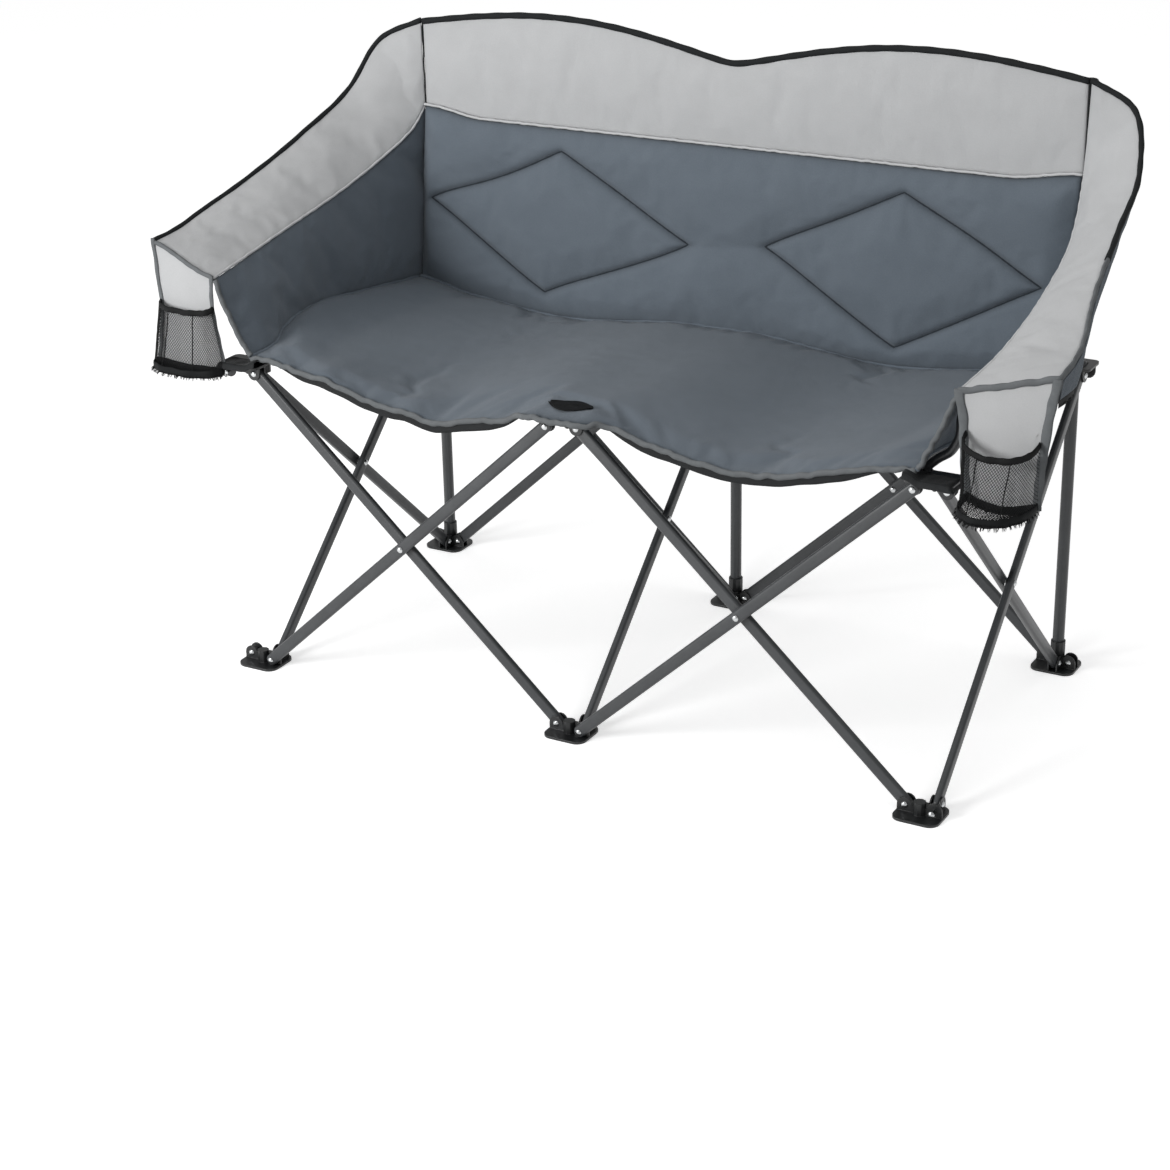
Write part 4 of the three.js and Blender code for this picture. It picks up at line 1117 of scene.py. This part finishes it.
def build_arm(name, side):
    def pad(part, node, place, hint, columns, rows, thick, material, filling, fullness, **more):
        def flipped(u, v):
            return mirrored(place(u, v), side)

        made = sewn_pad(f"arm_{part}_panel_{name}", flipped, Vector(hint), columns, rows, thick,
                        material, *filling, **more)
        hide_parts(f"arm_{node}_{name}")
        return made

    def hem_place(u, v):
        point = hem_line(u)
        point.z += v * 0.025
        # Its upper half lies behind the panel.
        point.x += (0.0012 * math.sin(u * 90) - 0.0050) * smooth(v, 0.3, 0.7)
        return mirrored(point, side)

    made = [pad("inner", "inner", inner_place, (-side, 0, 0), 72, 26, 0.009, slate,
                (1.0, 0.011, 0.006), 0.25),
            pad("top", "band", band_place, (-side, 0, 1), 76, 22, 0.009, silver,
                (0.6, 0.003, 0.004), 0.25, seeds=0.0003),
            pad("outer", "outer", outer_place, (side, 0, 0), 72, 22, 0.0045, slate,
                (0.3, 0.006, 0.002), 0.1)]
    hem = thin_sheet(f"arm_hem_tape_{name}", hem_place, 90, 5, (0.58, 0.025), 0.002, webbing)
    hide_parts(f"arm_hem_{name}")

    # On the right arm the grey tape of the front runs on round the corner, this far back.
    turn = 0.42 if side > 0 else 0.0
    front_line = [mm(mix(617, 757, i / 40), -9, mix(653, 691, i / 40)) + Vector((0, ROW_FRONT, 0))
                  for i in range(41)]
    if turn:
        front_line += spaced(outer_edge, 40, 0.01, turn)
    front_tall = 0.0050 if side > 0 else 0.0036
    for part, line, *shape in (
            ("edge_binding", spaced(outer_edge, 100, turn), 0.0046, 0.0042, binding, 0.0003, 0.05),
            ("front_binding", front_line, front_tall, 0.0030, piping, 0.0020, 0.018),
            ("front_piping", [inner_place(0, i / 50) for i in range(51)], 0.0040, 0.0042, piping,
             0.0058, 0.019, AXIS_X),
            ("seam_fold", spaced(inner_seam, 150), 0.0022, 0.0024, silver, 0.0008, 0.012),
            ("foot_seam", spaced(seat_edge, 150), 0.0036, 0.0036, slate, 0.0007, 0.014)):
        made.append(tape(f"arm_{part}_{name}", [mirrored(p, side) for p in line], *shape))
    for each in (*made, hem):
        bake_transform(each)


# Cup holders: a hanging panel with bound sides, and a net pocket with an elastic mouth and a taped
# foot. The left one hangs a little slanted, flatter and narrower at its mouth.

CUPS = {
    "right": {
        # The bound sides from the arm down, as x and z in millimetres
        "inner_line": ((619, 653), (627, 612), (629, 573), (633, 535), (637, 505)),
        "outer_line": ((754, 687), (747, 645), (741, 591), (737, 548), (735, 505)),
        # Heights of the net's mouth and foot, and the middle and half width of each
        "mouth": 0.602, "foot": 0.5045, "mouth_at": (0.6835, 0.0520), "foot_at": (0.6860, 0.0500),
        # How far the foot and the mouth stand forward, and how far the mouth droops
        "foot_reach": 0.088, "mouth_reach": 0.036, "droop": 0.020,
        # Half the width of the side bindings, and the net's cut and the area of its threads
        "bound_wide": 0.0068, "net_flat": (0.22, 0.19), "net_area": 0.0155},
    "left": {
        "inner_line": ((618, 653), (620, 612), (616, 573), (609, 535), (604, 501)),
        "outer_line": ((727, 701), (723, 645), (720, 591), (726, 548), (735, 501)),
        "mouth": 0.608, "foot": 0.5005, "mouth_at": (0.6680, 0.0500), "foot_at": (0.6685, 0.0655),
        "foot_reach": 0.040, "mouth_reach": 0.016, "droop": 0.007,
        "bound_wide": 0.0036, "net_flat": (0.17, 0.15), "net_area": 0.0137},
}
# The back of the nets, just in front of the panels
NET_BACK = ROW_FRONT - 0.0125
# Where slack cloth of the pocket sinks to
SLACK = Vector((0, -0.6, -0.36))
# Cut ends of threads round the foot of each net
FRINGE_ENDS = 230


def threads_of(place, columns, rows):
    """A net of crossed threads, set out by place(u, v)."""
    bm = bmesh.new()
    bmesh.ops.create_grid(bm, x_segments=columns, y_segments=rows, size=0.5)
    square = list(bm.edges)
    bmesh.ops.poke(bm, faces=bm.faces[:])
    bmesh.ops.dissolve_edges(bm, edges=[e for e in square if not e.is_boundary], use_verts=False)
    for vert in bm.verts:
        vert.co = place(vert.co.x + 0.5, vert.co.y + 0.5)
    bmesh.ops.wireframe(bm, faces=bm.faces[:], thickness=0.0010, use_replace=True,
                        use_even_offset=False, use_boundary=True)
    return as_mesh("net_part", bm)


def build_cup(name, side, inner_line, outer_line, mouth, foot, mouth_at, foot_at, foot_reach,
              mouth_reach, droop, bound_wide, net_flat, net_area):
    inner_side, outer_side = [seam([(x, -9.8, z) for x, z in line])
                              for line in (inner_line, outer_line)]

    def panel_place(u, v):
        point = inner_side(1 - v).lerp(outer_side(1 - v), u)
        point.y -= 0.004 * math.sin(math.pi * u) * v * (1 - v) * 4
        gather = math.exp(-((u - 0.35) / 0.05) ** 2) + math.exp(-((u - 0.68) / 0.05) ** 2)
        point.y += 0.003 * gather * (1 - smooth(v, 0.0, 0.55))
        point += droop * math.sin(math.pi * u) * (1 - v) ** 4 * SLACK
        return mirrored(point, side, 0)

    panel = thin_sheet(f"cup_sheet_{name}", panel_place, 36, 44, (0.13, 0.17), 0.0015, silver)
    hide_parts(f"cup_panel_{name}")
    made = [panel]
    for part, line in (("inner", inner_side), ("outer", outer_side)):
        # The binding starts a little higher, under that of the arm.
        points = [mirrored(p + Vector((0, -0.001, 0)), side, 0)
                  for p in (line(0) + Vector((0, 0, 0.004)), *spaced(line, 44))]
        made.append(tape(f"cup_{part}_binding_{name}", points, 0.0018, bound_wide, piping, 0.0014,
                         up=AXIS_Y))

    # The net is sewn to both bound sides. Its foot stands forward, and its mouth hangs slack.

    def net_place(u, v):
        """Round the front from the inner to the outer side, and from the foot to the mouth."""
        forward = math.sin(math.pi * u) ** 0.8
        x = mix(foot_at[0], mouth_at[0], v) - mix(foot_at[1], mouth_at[1], v) * math.cos(
            math.pi * u)
        y = NET_BACK - mix(foot_reach, mouth_reach, v ** 0.8) * forward
        y += 0.0012 * math.sin(u * 26) * forward
        return mirrored(Vector((x, y, mix(foot, mouth - droop * forward, v))), side, 0)

    def floor_place(u, v):
        edge = net_place(u, 0)
        sunk = droop * math.sin(math.pi * u) * (1 - v) * SLACK
        return Vector((edge.x, mix(NET_BACK, edge.y, v), foot + 0.0010)) + sunk

    def front_line(u, count):
        """The height of the pocket's front at u, a little before the net."""
        return [net_place(u, i / count) + Vector((0, -0.0008, 0)) for i in range(count + 1)]

    bm = bmesh.new()
    # The net's meshes are drawn about half again as large as real ones, to show in a render.
    for part in (threads_of(net_place, 38, 18), threads_of(floor_place, 24, 14)):
        bm.from_mesh(part)
        bpy.data.meshes.remove(part)
    pocket = piece(f"cup_net_{name}", bm, net)
    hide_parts(f"cup_pocket_{name}")

    arc = [net_place(i / 40, 0.045) + Vector((0, -0.0008, 0)) for i in range(41)]
    ring = arc + [arc[-1].lerp(arc[0], i / 14) + droop * math.sin(math.pi * i / 14) * SLACK
                  for i in range(1, 14)]
    made += [pocket, tape(f"cup_foot_tape_{name}", ring, 0.0064, 0.0018, webbing, 0.0012, 0.012,
                          loop=True)]
    # Cut ends of the net's threads stick out round the foot.
    bm = bmesh.new()
    for i in range(FRINGE_ENDS):
        root = ring[int(i / FRINGE_ENDS * len(ring))]
        away = Vector((root.x - side * foot_at[0], root.y - ROW_FRONT, 0)).normalized()
        lean = away + Vector((noise.noise(root * 900), noise.noise(root * 700), -0.9
                              + noise.noise(root * 800 + Vector((i, 0, 0)))))
        hair = bmesh.ops.create_cone(bm, cap_ends=True, segments=4, radius1=0.0006,
                                     radius2=0.0002, depth=0.0095)["verts"]
        astray = noise.noise(root * 500 + Vector((0, i, 0))) * 0.003
        start = root + lean.normalized() * 0.0035 + Vector((astray, 0, -0.003))
        bmesh.ops.transform(bm, verts=hair, matrix=turned_to(lean, start))
    made.append(piece(f"cup_foot_fringe_{name}", bm, net))
    elastic_line = [net_place(i / 60, 0.97) + Vector((0, -0.0006, 0)) for i in range(61)]
    made.append(tape(f"cup_elastic_{name}", elastic_line, 0.0050, 0.0018, net, 0.0008, 0.014))
    for part, u, wide in (("inner", 0.36, 0.0008), ("outer", 0.66, 0.0008),
                          ("side", 0.93 if side < 0 else 0.06, 0.0026)):
        made.append(tape(f"cup_{part}_dart_{name}", front_line(u, 24), wide, 0.0009, net, 0.0012,
                         0.014, up=AXIS_X, sides=8))
    for each in made:
        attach(each, f"arm_post_{name}")


for name, side in SIDES.items():
    build_arm(name, side)
    build_cup(name, side, **CUPS[name])


# Floor, light and camera

bm = bmesh.new()
bmesh.ops.create_grid(bm, x_segments=1, y_segments=1, size=8)
floor = placed("floor", as_mesh("floor", bm))
paint, tree = new_material("floor_paint_pale")
rays = add(tree, "ShaderNodeLightPath")
seen = add(tree, "ShaderNodeMath", {
    0: rays.outputs["Is Camera Ray"], 1: rays.outputs["Is Glossy Ray"]}, operation="MAXIMUM")
tint = add(tree, "ShaderNodeMix", {
    "Factor": seen.outputs["Value"], "A": linear("#b4b4b4"), "B": linear("#ffffff")},
    data_type="RGBA")
glow = add(tree, "ShaderNodeMath", {0: seen.outputs["Value"], 1: 0.45}, operation="MULTIPLY")
shader = add(tree, "ShaderNodeBsdfPrincipled", {
    "Base Color": tint.outputs["Result"], "Roughness": 0.9, "Specular IOR Level": 0.0,
    "Emission Color": (1, 1, 1, 1), "Emission Strength": glow.outputs["Value"]})
add(tree, "ShaderNodeOutputMaterial", {"Surface": shader.outputs["BSDF"]})
floor.data.materials.append(paint)

world = bpy.data.worlds.new("studio")
bpy.context.scene.world = world
world.use_nodes = True
tree = world.node_tree
tree.nodes.clear()
rays = add(tree, "ShaderNodeLightPath")
seen = add(tree, "ShaderNodeMath", {
    0: rays.outputs["Is Camera Ray"], 1: rays.outputs["Is Transmission Ray"]}, operation="MAXIMUM")
level = add(tree, "ShaderNodeMix", {"Factor": seen.outputs["Value"], "A": 0.52, "B": 1.0},
            data_type="FLOAT")
sky = add(tree, "ShaderNodeBackground", {"Color": (1, 1, 1, 1), "Strength": level.outputs["Result"]})
add(tree, "ShaderNodeOutputWorld", {"Surface": sky.outputs["Background"]})


def lamp(name, place, aim, size, power):
    data = bpy.data.lights.new(name, "AREA")
    data.shape = "DISK"
    data.size = size
    data.energy = power
    turn = (Vector(place) - Vector(aim)).to_track_quat("Z", "Y").to_matrix().to_4x4()
    placed(name, data).matrix_world = Matrix.Translation(place) @ turn


lamp("key", (-1.8, -3.4, 1.6), (0, 0, 0.6), 1.6, 118)
lamp("top", (0.4, -0.6, 3.6), (0, 0, 0.5), 2.6, 12)

azimuth, height, roll = math.radians(29.82), math.radians(23.17), math.radians(-1.22)
back = Vector((math.sin(azimuth) * math.cos(height), -math.cos(azimuth) * math.cos(height),
               math.sin(height)))
right = (-back).cross(AXIS_Z).normalized()
above = right.cross(-back)
tilted = right * math.cos(roll) + above * math.sin(roll)
lifted = above * math.cos(roll) - right * math.sin(roll)
data = bpy.data.cameras.new("photograph")
data.lens = 78.2
data.sensor_width = 36
data.clip_end = 50
camera = placed("photograph", data)
camera.matrix_world = Matrix.Translation((1.7756, -3.2884, 1.7571)) @ Matrix(
    (tilted, lifted, back)).transposed().to_4x4()
bpy.context.scene.camera = camera
bpy.context.scene.view_settings.view_transform = "Standard"
